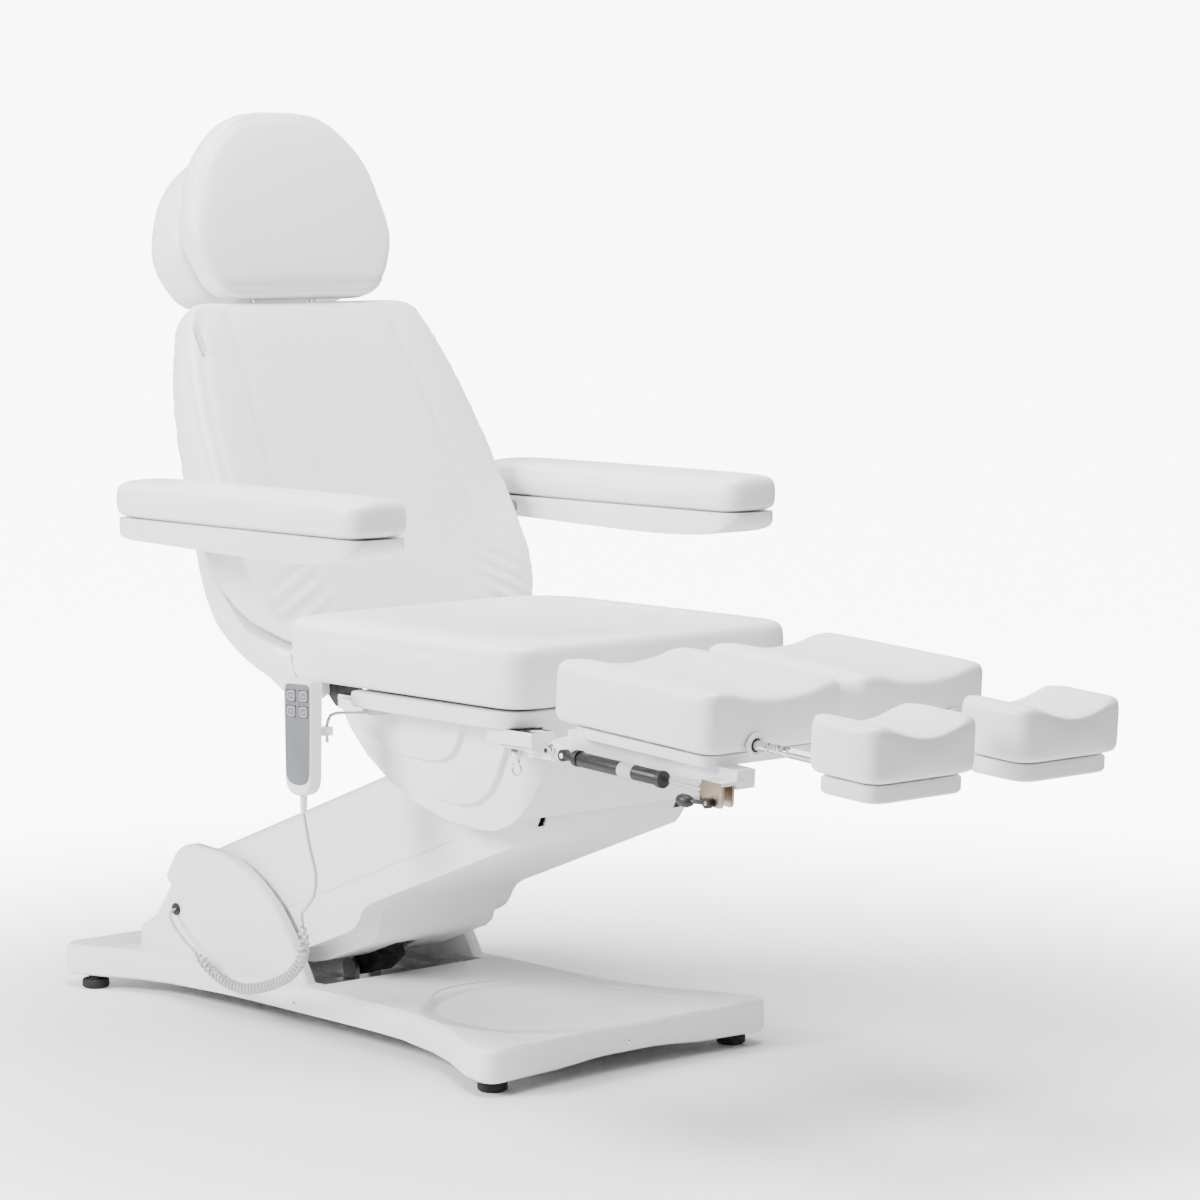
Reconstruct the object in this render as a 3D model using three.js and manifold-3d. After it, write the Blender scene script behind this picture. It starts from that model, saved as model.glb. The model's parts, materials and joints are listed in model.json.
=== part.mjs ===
// Electric beauty and podiatry chair: a pedestal base, a lifting arm that keeps the seat level, a reclining
// back with a headrest, swing-up armrests, and two leg rests with sliding footrests. Millimetres, +Z up,
// +X towards the footrests, +Y to the sitter's left. The origin is on the floor, midway along the length.
import * as THREE from "three";
import { mergeVertices } from "three/addons/utils/BufferGeometryUtils.js";
import Module from "manifold-3d";

const wasm = await Module();
wasm.setup();

// ---------------------------------------------------------------- driving dimensions
const GAP = 0.4; // clearance between pieces that touch
const WALL = 4; // moulded covers

// Base: two moulded covers over a welded frame on four levelling feet
const BASE_REAR = -861;
const BASE_FRONT = 176;
const BASE_SPLIT = -328; // the line where the front cover meets the rear one
const BASE_TOP = 65;
const BASE_BOTTOM = 18;
const BASE_REAR_HALF = 250;
const BASE_WAIST_HALF = 184;
const BASE_FRONT_HALF = 264;
const FOOT_INSET_REAR = 57; // from the base's ends to the feet
const FOOT_INSET_FRONT = 42;
const FOOT_Y = 224;
const FOOT_RADIUS = 21;
const FOOT_PAD = 14;
const CHEEK = 20; // thickness of the rear cover's two upright cheeks

// Lifting arm: pivots on the base, carries the seat at its far end
const LIFT_X = -566;
const LIFT_Z = 175;
const ARM_LENGTH = 640; // from pivot to pivot
const ARM_ANGLE = 21; // above the floor at rest, degrees
const ARM_HALF = 144;
const ARM_TOP = 66; // from the line of the pivots, square to it
const ARM_SPLIT = -60;
const ARM_BOTTOM = -100;
const ARM_BELLY = -127;
const ARM_REAR = -30;
const ARM_NOSE = 107; // the lower cover's rounded end, around the far pivot
const TRUNNION = 15; // radius of the two main shafts
const LINK_RISE = 45; // the levelling link's pivots above the arm's own
const LIFT_MOTOR_X = -426;
const LIFT_MOTOR_Z = 60;
const LIFT_LUG_U = 398; // where the lift actuator pushes the arm
const LIFT_LUG_W = -57;

// Seat
const SEAT_REAR = -310;
const SEAT_FRONT = 232;
const SEAT_HALF = 266;
const SEAT_BOTTOM = 523;
const SEAT_THICK = 94;
const SEAT_CORNER = 60;
const SEAT_REAR_CORNER = 90;
const TRAY_THICK = 22;
const TRAY_REAR = -136;
const TRAY_FRONT = 206;
const TRAY_HALF = 257;
const SKIRT_FRONT = 198;
const SKIRT_HALF = 198; // outer faces of the cover under the seat
const STEP = 8; // each raised terrace on that cover's sides
const BRACKET_HALF = 130; // the seat bracket's two plates

// Back: measured in a frame at the recline hinge, +Z up the back, +X out of its front
const BACK_X = -296;
const BACK_Z = 535;
const BACK_ANGLE = 29.5; // from the vertical at rest, degrees
const BACK_TOP = 586;
const BACK_FRONT = 26;
const BACK_HALF = 272;
const BACK_TOP_HALF = 214;
const HINGE_RADIUS = 12;

// Headrest
const HEAD_Z = BACK_TOP + 14; // bottom of the headrest, up the back from the hinge
const HEAD_ANGLE = 15.5; // how far it leans forward of the back
const HEAD_HALF = 196;
const HEAD_HEIGHT = 285;
const CORE_HEIGHT = 240;
const PILLOW_THICK = 60;
const CORE_THICK = 92;
const HEAD_BAR_X = -22; // the headrest's two bars, in the back's frame
const HEAD_BAR_Y = 55;

// Armrests
const ARMREST_REAR = -505;
const ARMREST_FRONT = 62;
const ARMREST_INNER = 289;
const ARMREST_OUTER = 402;
const ARMREST_SEAM = 750;
const ARMREST_TOP = 800;
const ARMREST_PIVOT_X = -424;
const ARMREST_PIVOT_Z = 734;

// Leg rests: measured from the tilt axis, +X along the leg
const LEG_SWIVEL_X = 229;
const LEG_SWIVEL_Y = 225;
const LEG_TILT_X = 260;
const LEG_TILT_Z = 479;
const LEG_ANGLE = 3.5; // slope at rest, degrees down towards the feet
const LEG_LENGTH = 310;
const LEG_START = 25; // from the tilt axis to the pad's rear face
const LEG_OUTER = 262;
const LEG_INNER = 8;
const LEG_PAD_BOTTOM = 43; // above the tilt axis
const LEG_PAD_THICK = 86;
const FOOT_ROD_RADIUS = 7;
const FOOT_ROD_Y = 182;
const FOOT_ROD_Z = 58;
const FOOTREST_START = 463;
const FOOTREST_LENGTH = 132;
const FOOTREST_WIDTH = 200;
const FOOTREST_THICK = 78;

// Handset with its curly cord
const HANDSET = { width: 56, height: 164, thick: 24, x: -157, y: -SEAT_HALF - 52, z: 462, turn: 12 };
const CORD_RADIUS = 2.4;
const COIL_RADIUS = 8;

// ---------------------------------------------------------------- helpers
const rad = THREE.MathUtils.degToRad;

// A closed geometry as a solid that can be joined and cut.
function solid(geometry) {
  const bare = geometry.index ? geometry.toNonIndexed() : geometry.clone();
  bare.deleteAttribute("normal");
  bare.deleteAttribute("uv");
  const merged = mergeVertices(bare, 1e-3);
  const vertProperties = merged.attributes.position.array;
  const triVerts = new Uint32Array(merged.index.array);
  return new wasm.Manifold(new wasm.Mesh({ numProp: 3, vertProperties, triVerts }));
}

function block(x0, x1, y0, y1, z0, z1) {
  const geometry = new THREE.BoxGeometry(x1 - x0, y1 - y0, z1 - z0);
  geometry.translate((x0 + x1) / 2, (y0 + y1) / 2, (z0 + z1) / 2);
  return solid(geometry);
}

// A round bar between two points.
function bar(radius, from, to, sides = 14, endRadius = radius) {
  const a = new THREE.Vector3(...from);
  const b = new THREE.Vector3(...to);
  const along = b.clone().sub(a);
  const geometry = new THREE.CylinderGeometry(endRadius, radius, along.length(), sides);
  const up = new THREE.Vector3(0, 1, 0);
  geometry.applyQuaternion(new THREE.Quaternion().setFromUnitVectors(up, along.normalize()));
  const middle = a.add(b).multiplyScalar(0.5);
  geometry.translate(middle.x, middle.y, middle.z);
  return solid(geometry);
}

// An outline through points: corners are rounded by the given radius (one for all, or one each).
function outline(points, radius = 0) {
  const shape = new THREE.Shape();
  const count = points.length;
  points.forEach((point, i) => {
    const here = new THREE.Vector2(...point);
    const before = new THREE.Vector2(...points[(i + count - 1) % count]);
    const after = new THREE.Vector2(...points[(i + 1) % count]);
    const wanted = Array.isArray(radius) ? radius[i] : radius;
    const toBefore = before.sub(here);
    const toAfter = after.sub(here);
    const cut = Math.min(wanted, toBefore.length() * 0.49, toAfter.length() * 0.49);
    const start = here.clone().add(toBefore.setLength(cut || 0));
    const end = here.clone().add(toAfter.setLength(cut || 0));
    if (i === 0) shape.moveTo(start.x, start.y);
    else shape.lineTo(start.x, start.y);
    if (cut > 0) shape.quadraticCurveTo(here.x, here.y, end.x, end.y);
  });
  shape.closePath();
  return shape;
}

const AXES = {
  // outline drawn in X and Y, thick along Z
  z: new THREE.Matrix4(),
  // outline drawn in X and Z, thick along Y
  y: new THREE.Matrix4().makeBasis(
    new THREE.Vector3(1, 0, 0), new THREE.Vector3(0, 0, 1), new THREE.Vector3(0, -1, 0)),
  // outline drawn in Y and Z, thick along X
  x: new THREE.Matrix4().makeBasis(
    new THREE.Vector3(0, 1, 0), new THREE.Vector3(0, 0, 1), new THREE.Vector3(1, 0, 0)),
};

// An outline with thickness between two places on an axis, its edges rounded over by a bevel.
function plate(axis, shape, low, high, bevel = 0, curveSegments = 4, bevelSegments = 1) {
  const geometry = new THREE.ExtrudeGeometry(shape, {
    depth: high - low - 2 * bevel,
    bevelEnabled: bevel > 0,
    bevelThickness: bevel,
    bevelSize: bevel,
    bevelOffset: -bevel,
    bevelSegments,
    curveSegments,
  });
  geometry.translate(0, 0, bevel);
  geometry.applyMatrix4(AXES[axis]);
  if (axis === "x") geometry.translate(low, 0, 0);
  if (axis === "y") geometry.translate(0, high, 0);
  if (axis === "z") geometry.translate(0, 0, low);
  return solid(geometry);
}

function join(...solids) {
  return solids.reduce((sum, next) => sum.add(next));
}

function mirrored(make) {
  return join(make(1), make(-1));
}

// A round-ended strip of plate between two pins in the XZ plane.
function strap(from, to, radius, y0, y1) {
  const [ax, az] = from;
  const [bx, bz] = to;
  const along = Math.atan2(bz - az, bx - ax);
  const shape = new THREE.Shape();
  shape.absarc(bx, bz, radius, along - Math.PI / 2, along + Math.PI / 2, false);
  shape.absarc(ax, az, radius, along + Math.PI / 2, along + 1.5 * Math.PI, false);
  shape.closePath();
  return plate("y", shape, y0, y1, 0, 6);
}

function alongY(radius, x, z, y0, y1, sides = 14) {
  return bar(radius, [x, y0, z], [x, y1, z], sides);
}

// A cord along a smooth curve through points.
function cord(points, radius, sides, steps) {
  const path = new THREE.CatmullRomCurve3(points.map((p) => new THREE.Vector3(...p)), false, "centripetal");
  const section = new THREE.Shape();
  for (let i = 0; i < sides; i += 1) {
    const turn = (i / sides) * 2 * Math.PI;
    const place = [radius * Math.cos(turn), radius * Math.sin(turn)];
    if (i === 0) section.moveTo(...place);
    else section.lineTo(...place);
  }
  section.closePath();
  return solid(new THREE.ExtrudeGeometry(section, { steps, extrudePath: path, bevelEnabled: false }));
}

const finish = (color, roughness, metalness = 0) => () =>
  new THREE.MeshStandardMaterial({ color, roughness, metalness });
const leather = finish(0xf4f4f3, 0.55);
const shell = finish(0xf2f2f2, 0.35);
const whiteMetal = finish(0xededed, 0.4, 0.1);
const steel = finish(0x8d8f93, 0.4, 0.8);
const chrome = finish(0xd8dadc, 0.15, 1);
const black = finish(0x17181a, 0.6);
const blackMetal = finish(0x1c1d20, 0.5, 0.4);
const greyPanel = finish(0x8f9093, 0.5);
const rubber = finish(0x1a1a1a, 0.85);

const chair = new THREE.Group();

function put(name, body, material, parent = chair) {
  const data = body.getMesh();
  const geometry = new THREE.BufferGeometry();
  const flat = new Float32Array(data.numVert * 3);
  for (let i = 0; i < data.numVert; i += 1) {
    flat.set(data.vertProperties.subarray(i * data.numProp, i * data.numProp + 3), i * 3);
  }
  geometry.setAttribute("position", new THREE.BufferAttribute(flat, 3));
  geometry.setIndex(new THREE.BufferAttribute(data.triVerts, 1));
  geometry.computeVertexNormals();
  const mesh = new THREE.Mesh(geometry, material());
  mesh.name = name;
  parent.add(mesh);
}

function frameAt(x, y, z, pitch, parent = chair) {
  const group = new THREE.Group();
  group.position.set(x, y, z);
  group.rotation.y = rad(pitch);
  parent.add(group);
  return group;
}

// ---------------------------------------------------------------- base
const footRearX = BASE_REAR + FOOT_INSET_REAR;
const footFrontX = BASE_FRONT - FOOT_INSET_FRONT;
const tubeTop = BASE_TOP - WALL - 3;
const tubeBottom = tubeTop - 30;
const ARM_CLEAR = 6; // between the arm and each cheek
const cheekInner = ARM_HALF + ARM_CLEAR;
const cheekOuter = cheekInner + CHEEK;

// The plan of the base: wide at both pairs of feet, narrow between them.
function basePlan(inset) {
  const rear = BASE_REAR + inset;
  const front = BASE_FRONT - inset;
  const half = (side) => side - inset;
  const shape = new THREE.Shape();
  const corner = 30;
  const hollow = 14; // how far the front edge bows in
  shape.moveTo(rear, -half(BASE_REAR_HALF) + corner);
  shape.quadraticCurveTo(rear, -half(BASE_REAR_HALF), rear + corner, -half(BASE_REAR_HALF));
  const side = (s) => [
    [footRearX + 22, s * half(BASE_REAR_HALF) * 0.995],
    [footRearX + 46, s * half(BASE_WAIST_HALF + 14)],
    [footRearX + 140, s * half(BASE_WAIST_HALF)],
    [footFrontX - 240, s * half(BASE_WAIST_HALF)],
    [footFrontX - 90, s * half(BASE_WAIST_HALF + 12)],
    [footFrontX - 48, s * half(BASE_FRONT_HALF) * 0.99],
    [front - corner, s * half(BASE_FRONT_HALF)],
  ];
  const near = side(-1);
  shape.bezierCurveTo(...near[0], ...near[1], ...near[2]);
  shape.lineTo(...near[3]);
  shape.bezierCurveTo(...near[4], ...near[5], ...near[6]);
  shape.quadraticCurveTo(front, -half(BASE_FRONT_HALF), front, -half(BASE_FRONT_HALF) + corner);
  shape.quadraticCurveTo(front - 2 * hollow, 0, front, half(BASE_FRONT_HALF) - corner);
  const far = side(1);
  shape.quadraticCurveTo(front, half(BASE_FRONT_HALF), ...far[6]);
  shape.bezierCurveTo(...far[5], ...far[4], ...far[3]);
  shape.lineTo(...far[2]);
  shape.bezierCurveTo(...far[1], ...far[0], rear + corner, half(BASE_REAR_HALF));
  shape.quadraticCurveTo(rear, half(BASE_REAR_HALF), rear, half(BASE_REAR_HALF) - corner);
  shape.closePath();
  return shape;
}

const CHEEK_REAR = -197; // from the arm's pivot
const cheekFoot = BASE_TOP - WALL - 1;

// The side view of a cheek, from the deck up over the arm's pivot; the rear edge has a small notch.
function cheekShape(inset) {
  const x = (value) => LIFT_X + value;
  const z = (value) => LIFT_Z + value;
  const shape = new THREE.Shape();
  shape.moveTo(x(222 - inset), cheekFoot);
  shape.quadraticCurveTo(x(188 - inset), z(-52 - inset), x(142 - inset), z(-6 - inset));
  shape.quadraticCurveTo(x(82 - inset), z(46 - inset), x(10), z(58 - inset));
  shape.lineTo(x(-62), z(62 - inset));
  shape.quadraticCurveTo(x(-96 + inset), z(58 - inset), x(-113 + inset), z(33 - inset));
  shape.lineTo(x(-130 + inset), z(6));
  shape.lineTo(x(-118 + inset), z(-8));
  shape.lineTo(x(-157 + inset), z(-59));
  shape.lineTo(x(CHEEK_REAR + inset), z(-82));
  shape.lineTo(x(CHEEK_REAR + inset), cheekFoot);
  shape.closePath();
  return shape;
}

function baseShell() {
  const outside = plate("z", basePlan(0), BASE_BOTTOM, BASE_TOP, 5, 5);
  const inside = plate("z", basePlan(WALL), BASE_BOTTOM - 5, BASE_TOP - WALL, 0, 5);
  // the bottom edges rise a little between the feet
  const archSide = outline([
    [footRearX + 90, BASE_BOTTOM - 2], [footFrontX - 90, BASE_BOTTOM - 2],
    [footFrontX - 260, BASE_BOTTOM + 8], [footRearX + 260, BASE_BOTTOM + 8],
  ], 120);
  const archFront = outline([
    [-FOOT_Y + 60, BASE_BOTTOM - 2], [FOOT_Y - 60, BASE_BOTTOM - 2],
    [FOOT_Y - 150, BASE_BOTTOM + 8], [-FOOT_Y + 150, BASE_BOTTOM + 8],
  ], 80);
  const reach = BASE_FRONT_HALF + 20;
  return outside
    .subtract(inside)
    .subtract(plate("y", archSide, -reach, reach))
    .subtract(plate("x", archFront, footFrontX, BASE_FRONT + 20));
}

const feet = [
  ["rear_right", footRearX, -FOOT_Y], ["rear_left", footRearX, FOOT_Y],
  ["front_right", footFrontX, -FOOT_Y], ["front_left", footFrontX, FOOT_Y],
];

// The steel frame: two rails, three cross tubes, ears for the arm, and lugs for the link and the lift motor.
function baseFrame() {
  const railY = 110;
  const earInner = cheekInner + WALL + 2;
  const earOuter = earInner + 8;
  const rails = mirrored((s) =>
    block(footRearX, footFrontX, s * railY - 20, s * railY + 20, tubeBottom, tubeTop));
  const footTube = (x) => block(x - 14, x + 14, -FOOT_Y - 9, FOOT_Y + 9, tubeBottom, tubeTop);
  const shaftTube = block(LIFT_X - 62, LIFT_X + 22, -earOuter, earOuter, tubeBottom, tubeTop);
  const ear = (s) => {
    const shape = outline([
      [LIFT_X - 40, tubeBottom], [LIFT_X + 40, tubeBottom],
      [LIFT_X + 27, LIFT_Z + 27], [LIFT_X - 27, LIFT_Z + 27],
    ], [0, 0, 26, 26]);
    const [low, high] = s > 0 ? [earInner, earOuter] : [-earOuter, -earInner];
    return plate("y", shape, low, high)
      .subtract(alongY(TRUNNION + 0.6, LIFT_X, LIFT_Z, low - 2, high + 2));
  };
  // a bent lug on each side of the levelling link, which passes behind the arm's shaft
  const linkLug = (s) => {
    const shape = outline([
      [LIFT_X - 58, tubeBottom], [LIFT_X - 28, tubeBottom], [LIFT_X - 26, LIFT_Z + 22],
      [LIFT_X + 14, LIFT_Z + LINK_RISE - 14], [LIFT_X + 14, LIFT_Z + LINK_RISE + 13],
      [LIFT_X - 28, LIFT_Z + LINK_RISE + 6], [LIFT_X - 54, LIFT_Z + 8],
    ], [0, 0, 6, 10, 12, 8, 8]);
    return plate("y", shape, s > 0 ? 18 : -24, s > 0 ? 24 : -18);
  };
  const linkPin = alongY(6, LIFT_X, LIFT_Z + LINK_RISE, -24, 24, 10);
  const motorLug = (s) => strap(
    [LIFT_MOTOR_X, tubeTop - 14], [LIFT_MOTOR_X, LIFT_MOTOR_Z], 15, s > 0 ? 20 : -28, s > 0 ? 28 : -20);
  const motorPin = alongY(6, LIFT_MOTOR_X, LIFT_MOTOR_Z, -28, 28, 10);
  const motorTube = block(LIFT_MOTOR_X - 20, LIFT_MOTOR_X + 20, -railY, railY, tubeBottom, LIFT_MOTOR_Z - 18);
  const footBore = (x, y) => bar(6.6, [x, y, 0], [x, y, tubeTop - 6], 10);
  let frame = join(rails, footTube(footRearX), footTube(footFrontX), shaftTube,
    mirrored(ear), mirrored(linkLug), linkPin, mirrored(motorLug), motorPin, motorTube);
  feet.forEach(([, x, y]) => {
    frame = frame.subtract(footBore(x, y));
  });
  return frame;
}

const HOLE_X = LIFT_X - 100; // where the handset's cord enters the near cheek
const HOLE_Z = LIFT_Z - 42;
const GROMMET = 7;
const INLET_Z = 42;

function rearCover() {
  const cheek = (s) => {
    const [low, high] = s > 0 ? [cheekInner, cheekOuter] : [-cheekOuter, -cheekInner];
    const inner = plate("y", cheekShape(WALL), low + WALL, high - WALL, 0, 5);
    return [plate("y", cheekShape(0), low, high, 4, 5), inner];
  };
  const [leftOut, leftIn] = cheek(1);
  const [rightOut, rightIn] = cheek(-1);
  // the wall that closes the back between the cheeks
  const wallShape = outline([
    [LIFT_X + CHEEK_REAR, cheekFoot], [LIFT_X + CHEEK_REAR, LIFT_Z - 82], [LIFT_X - 157, LIFT_Z - 59],
    [LIFT_X - 118, LIFT_Z - 8], [LIFT_X - 112, LIFT_Z - 12], [LIFT_X - 152, LIFT_Z - 64],
    [LIFT_X + CHEEK_REAR + 6, LIFT_Z - 86], [LIFT_X + CHEEK_REAR + 6, cheekFoot],
  ]);
  const wall = plate("y", wallShape, -cheekInner - 2, cheekInner + 2);
  const half = block(BASE_REAR - 10, BASE_SPLIT - GAP / 2, -400, 400, 0, 400);
  const wellRear = LIFT_X + CHEEK_REAR + 7;
  // the deck is open between the cheeks, where the arm and its motor go down to the frame
  const well = block(wellRear, BASE_SPLIT + 10, -cheekInner, cheekInner, 0, BASE_TOP + 1);
  return join(baseShell().intersect(half).subtract(well), leftOut, rightOut, wall)
    .subtract(leftIn)
    .subtract(rightIn)
    .subtract(alongY(TRUNNION + 5, LIFT_X, LIFT_Z, -cheekOuter + WALL, cheekOuter - WALL))
    .subtract(alongY(GROMMET + GAP, HOLE_X, HOLE_Z, -cheekOuter - 5, -cheekOuter + 2 * WALL))
    .subtract(block(BASE_REAR - 5, BASE_REAR + 20, -17 - GAP, 17 + GAP, INLET_Z - 13 - GAP, INLET_Z + 13 + GAP))
    .subtract(block(BASE_REAR - 5, BASE_SPLIT + 5, -cheekOuter + WALL, cheekOuter - WALL, 0, BASE_TOP - WALL));
}

function frontCover() {
  const half = block(BASE_SPLIT + GAP / 2, BASE_FRONT + 20, -400, 400, 0, 400);
  // the long foot well, open towards the front edge
  const wellHalf = 150;
  const wellShape = outline([
    [BASE_SPLIT + 130, -60], [BASE_SPLIT + 250, -wellHalf], [BASE_FRONT + 10, -wellHalf - 40],
    [BASE_FRONT + 10, wellHalf + 40], [BASE_SPLIT + 250, wellHalf], [BASE_SPLIT + 130, 60],
  ], [70, 90, 0, 0, 90, 70]);
  return baseShell().intersect(half).subtract(plate("z", wellShape, BASE_TOP - 1.5, BASE_TOP + 5));
}

// The control box under the arm: mains inlet at the back, plugs for the two motors on top.
function controlBox() {
  const inletRear = BASE_REAR + 1;
  const body = plate("z", outline([
    [footRearX + 40, -70], [LIFT_X - 66, -70], [LIFT_X - 66, 70], [footRearX + 40, 70],
  ], 8), 22, tubeTop + 2, 2);
  const neck = block(inletRear, footRearX + 44, -17, 17, INLET_Z - 13, INLET_Z + 13);
  const socket = block(inletRear - 2, inletRear + 16, -12, 12, INLET_Z - 8.5, INLET_Z + 8.5);
  const pin = (y, z) => block(inletRear + 4, inletRear + 18, y - 1, y + 1, z - 2, z + 2);
  return join(body, neck).subtract(socket).add(join(pin(-7, INLET_Z - 2), pin(7, INLET_Z - 2), pin(0, INLET_Z + 3)));
}

function levellingFoot(x, y) {
  const profile = [
    [0, 0], [FOOT_RADIUS - 3, 0], [FOOT_RADIUS, 3], [FOOT_RADIUS, FOOT_PAD - 2], [FOOT_RADIUS - 2, FOOT_PAD],
    [11, FOOT_PAD], [11, FOOT_PAD + 6], [6, FOOT_PAD + 6], [6, tubeTop - 8], [0, tubeTop - 8],
  ];
  const geometry = new THREE.LatheGeometry(profile.map((p) => new THREE.Vector2(...p)), 14);
  geometry.rotateX(Math.PI / 2);
  geometry.translate(x, y, 0);
  return solid(geometry);
}

// the control box runs under the rear cross tube, so that tube is notched over it
const boxNotch = block(footRearX - 60, footRearX + 60, -20, 20, 0, tubeTop + 10);
put("base_frame", baseFrame().subtract(boxNotch), steel);
put("rear_base_cover", rearCover(), shell);
put("front_base_cover", frontCover(), shell);
put("control_box", controlBox(), black);
feet.forEach(([place, x, y]) => put(`levelling_foot_${place}`, levellingFoot(x, y), rubber));

// ---------------------------------------------------------------- lifting arm
const armGroup = frameAt(LIFT_X, 0, LIFT_Z, -ARM_ANGLE);
const armSin = Math.sin(rad(ARM_ANGLE));
const armCos = Math.cos(rad(ARM_ANGLE));
const armToWorld = (u, w) => [LIFT_X + u * armCos - w * armSin, LIFT_Z + u * armSin + w * armCos];
const [CARRY_X, CARRY_Z] = armToWorld(ARM_LENGTH, 0);

function armFrame() {
  const railY = 88;
  const rail = (s) => block(0, ARM_LENGTH, s * railY - 15, s * railY + 15, -20, 20);
  const coverInner = ARM_HALF - WALL - 2;
  const ends = alongY(26, 0, 0, -coverInner, coverInner);
  const trunnion = alongY(TRUNNION, 0, 0, -cheekOuter + WALL + 3, cheekOuter - WALL - 3);
  const nose = alongY(26, ARM_LENGTH, 0, -BRACKET_HALF + 8, BRACKET_HALF - 8);
  const bore = alongY(TRUNNION + 0.6, ARM_LENGTH, 0, -BRACKET_HALF, BRACKET_HALF);
  const cross = block(LIFT_LUG_U - 26, LIFT_LUG_U + 26, -railY, railY, -20, 12);
  const lug = (s) => strap([LIFT_LUG_U, -10], [LIFT_LUG_U, LIFT_LUG_W], 14, s > 0 ? 17 : -25, s > 0 ? 25 : -17);
  const noseGap = block(ARM_LENGTH - 60, ARM_LENGTH + 40, -26, 26, -30, 40);
  return join(rail(1), rail(-1), ends, trunnion, nose, cross, lug(1), lug(-1))
    .subtract(bore)
    .subtract(noseGap);
}

// Upper and lower moulded covers of the arm: each is a channel, open towards the other.
function armTopCover() {
  const section = outline([
    [-ARM_HALF, ARM_SPLIT + GAP / 2], [ARM_HALF, ARM_SPLIT + GAP / 2], [ARM_HALF, ARM_TOP], [-ARM_HALF, ARM_TOP],
  ], [0, 0, 16, 16]);
  const inner = outline([
    [-ARM_HALF + WALL, ARM_SPLIT - 10], [ARM_HALF - WALL, ARM_SPLIT - 10],
    [ARM_HALF - WALL, ARM_TOP - WALL], [-ARM_HALF + WALL, ARM_TOP - WALL],
  ], [0, 0, 12, 12]);
  const tunnel = plate("x", inner, ARM_REAR - 50, ARM_LENGTH + 50);
  const slotForShaft = alongY(TRUNNION + 4, 0, 0, -ARM_HALF - 5, ARM_HALF + 5);
  // the seat's bracket rises through the open top at the far end
  const bracketRoom = block(ARM_LENGTH - 108, ARM_LENGTH + 5, -ARM_HALF + WALL + 3, ARM_HALF - WALL - 3,
    ARM_TOP - 20, ARM_TOP + 5);
  // the rear end is rounded around the pivot, so that it turns clear of the rear wall
  const side = outline([
    [ARM_REAR - 22, ARM_SPLIT - 5], [ARM_LENGTH, ARM_SPLIT - 5],
    [ARM_LENGTH, ARM_TOP + 5], [ARM_REAR - 22, ARM_TOP + 5],
  ], [60, 0, 0, 60]);
  return plate("x", section, ARM_REAR - 22, ARM_LENGTH)
    .intersect(plate("y", side, -ARM_HALF - 5, ARM_HALF + 5))
    .subtract(tunnel)
    .subtract(bracketRoom)
    .subtract(slotForShaft);
}

function armBottomCover() {
  const low = (deeper, wall) => {
    const shape = new THREE.Shape();
    const belly = ARM_BELLY - deeper + wall;
    const flat = ARM_BOTTOM + wall;
    shape.moveTo(30 + wall, ARM_SPLIT - GAP / 2 + (wall ? 10 : 0));
    shape.lineTo(30 + wall, ARM_SPLIT - 30);
    shape.quadraticCurveTo(60, belly + 8, 150, belly);
    shape.lineTo(258 - wall, belly);
    shape.bezierCurveTo(292 - wall, belly, 290, flat, 325, flat);
    const radius = ARM_NOSE - wall;
    const lowEdge = Math.asin(flat / radius);
    const highEdge = rad(wall ? -19 : -25);
    shape.lineTo(ARM_LENGTH + radius * Math.cos(lowEdge), flat);
    shape.absarc(ARM_LENGTH, 0, radius, lowEdge, highEdge, false);
    shape.lineTo(ARM_LENGTH + GAP, radius * Math.sin(highEdge));
    shape.lineTo(ARM_LENGTH + GAP, ARM_SPLIT - GAP / 2 + (wall ? 10 : 0));
    shape.closePath();
    return shape;
  };
  const outside = join(
    plate("y", low(0, 0), -ARM_HALF, ARM_HALF, 0, 5),
    plate("y", low(22, 0), -ARM_HALF + 34, ARM_HALF - 34, 0, 5));
  const inside = join(
    plate("y", low(0, WALL), -ARM_HALF + WALL, ARM_HALF - WALL, 0, 5),
    plate("y", low(22, WALL), -ARM_HALF + 34 + WALL, ARM_HALF - 34 - WALL, 0, 5));
  const motorSlot = block(-60, 220, -34, 34, ARM_BELLY - 60, ARM_SPLIT);
  // the seat bracket's plates show through two slots in the rounded nose
  const plateSlot = (s) => block(ARM_LENGTH + 40, ARM_LENGTH + ARM_NOSE + 10,
    s > 0 ? BRACKET_HALF - 10 : -BRACKET_HALF - 3, s > 0 ? BRACKET_HALF + 3 : -BRACKET_HALF + 10, -84, 0);
  return outside.subtract(inside).subtract(motorSlot).subtract(mirrored(plateSlot));
}

put("lift_arm_frame", armFrame(), steel, armGroup);
put("arm_cover_top", armTopCover(), shell, armGroup);
put("arm_cover_bottom", armBottomCover(), shell, armGroup);

function levellingLink() {
  const [rise, lean] = [LINK_RISE * armCos, LINK_RISE * armSin];
  const ends = [[lean, rise], [ARM_LENGTH + lean, rise]];
  return strap(ends[0], ends[1], 12, -15, 15)
    .subtract(alongY(6.6, ...ends[0], -20, 20, 10))
    .subtract(alongY(6.6, ...ends[1], -20, 20, 10));
}
put("levelling_link", levellingLink(), steel, armGroup);

// The lift actuator: a motor and tube that swing on the base, and a rod that pushes the arm.
const [LUG_X, LUG_Z] = armToWorld(LIFT_LUG_U, LIFT_LUG_W);
const liftReach = Math.hypot(LUG_X - LIFT_MOTOR_X, LUG_Z - LIFT_MOTOR_Z);
const liftAngle = THREE.MathUtils.radToDeg(Math.atan2(LUG_Z - LIFT_MOTOR_Z, LUG_X - LIFT_MOTOR_X));
const liftGroup = frameAt(LIFT_MOTOR_X, 0, LIFT_MOTOR_Z, -liftAngle);

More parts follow.
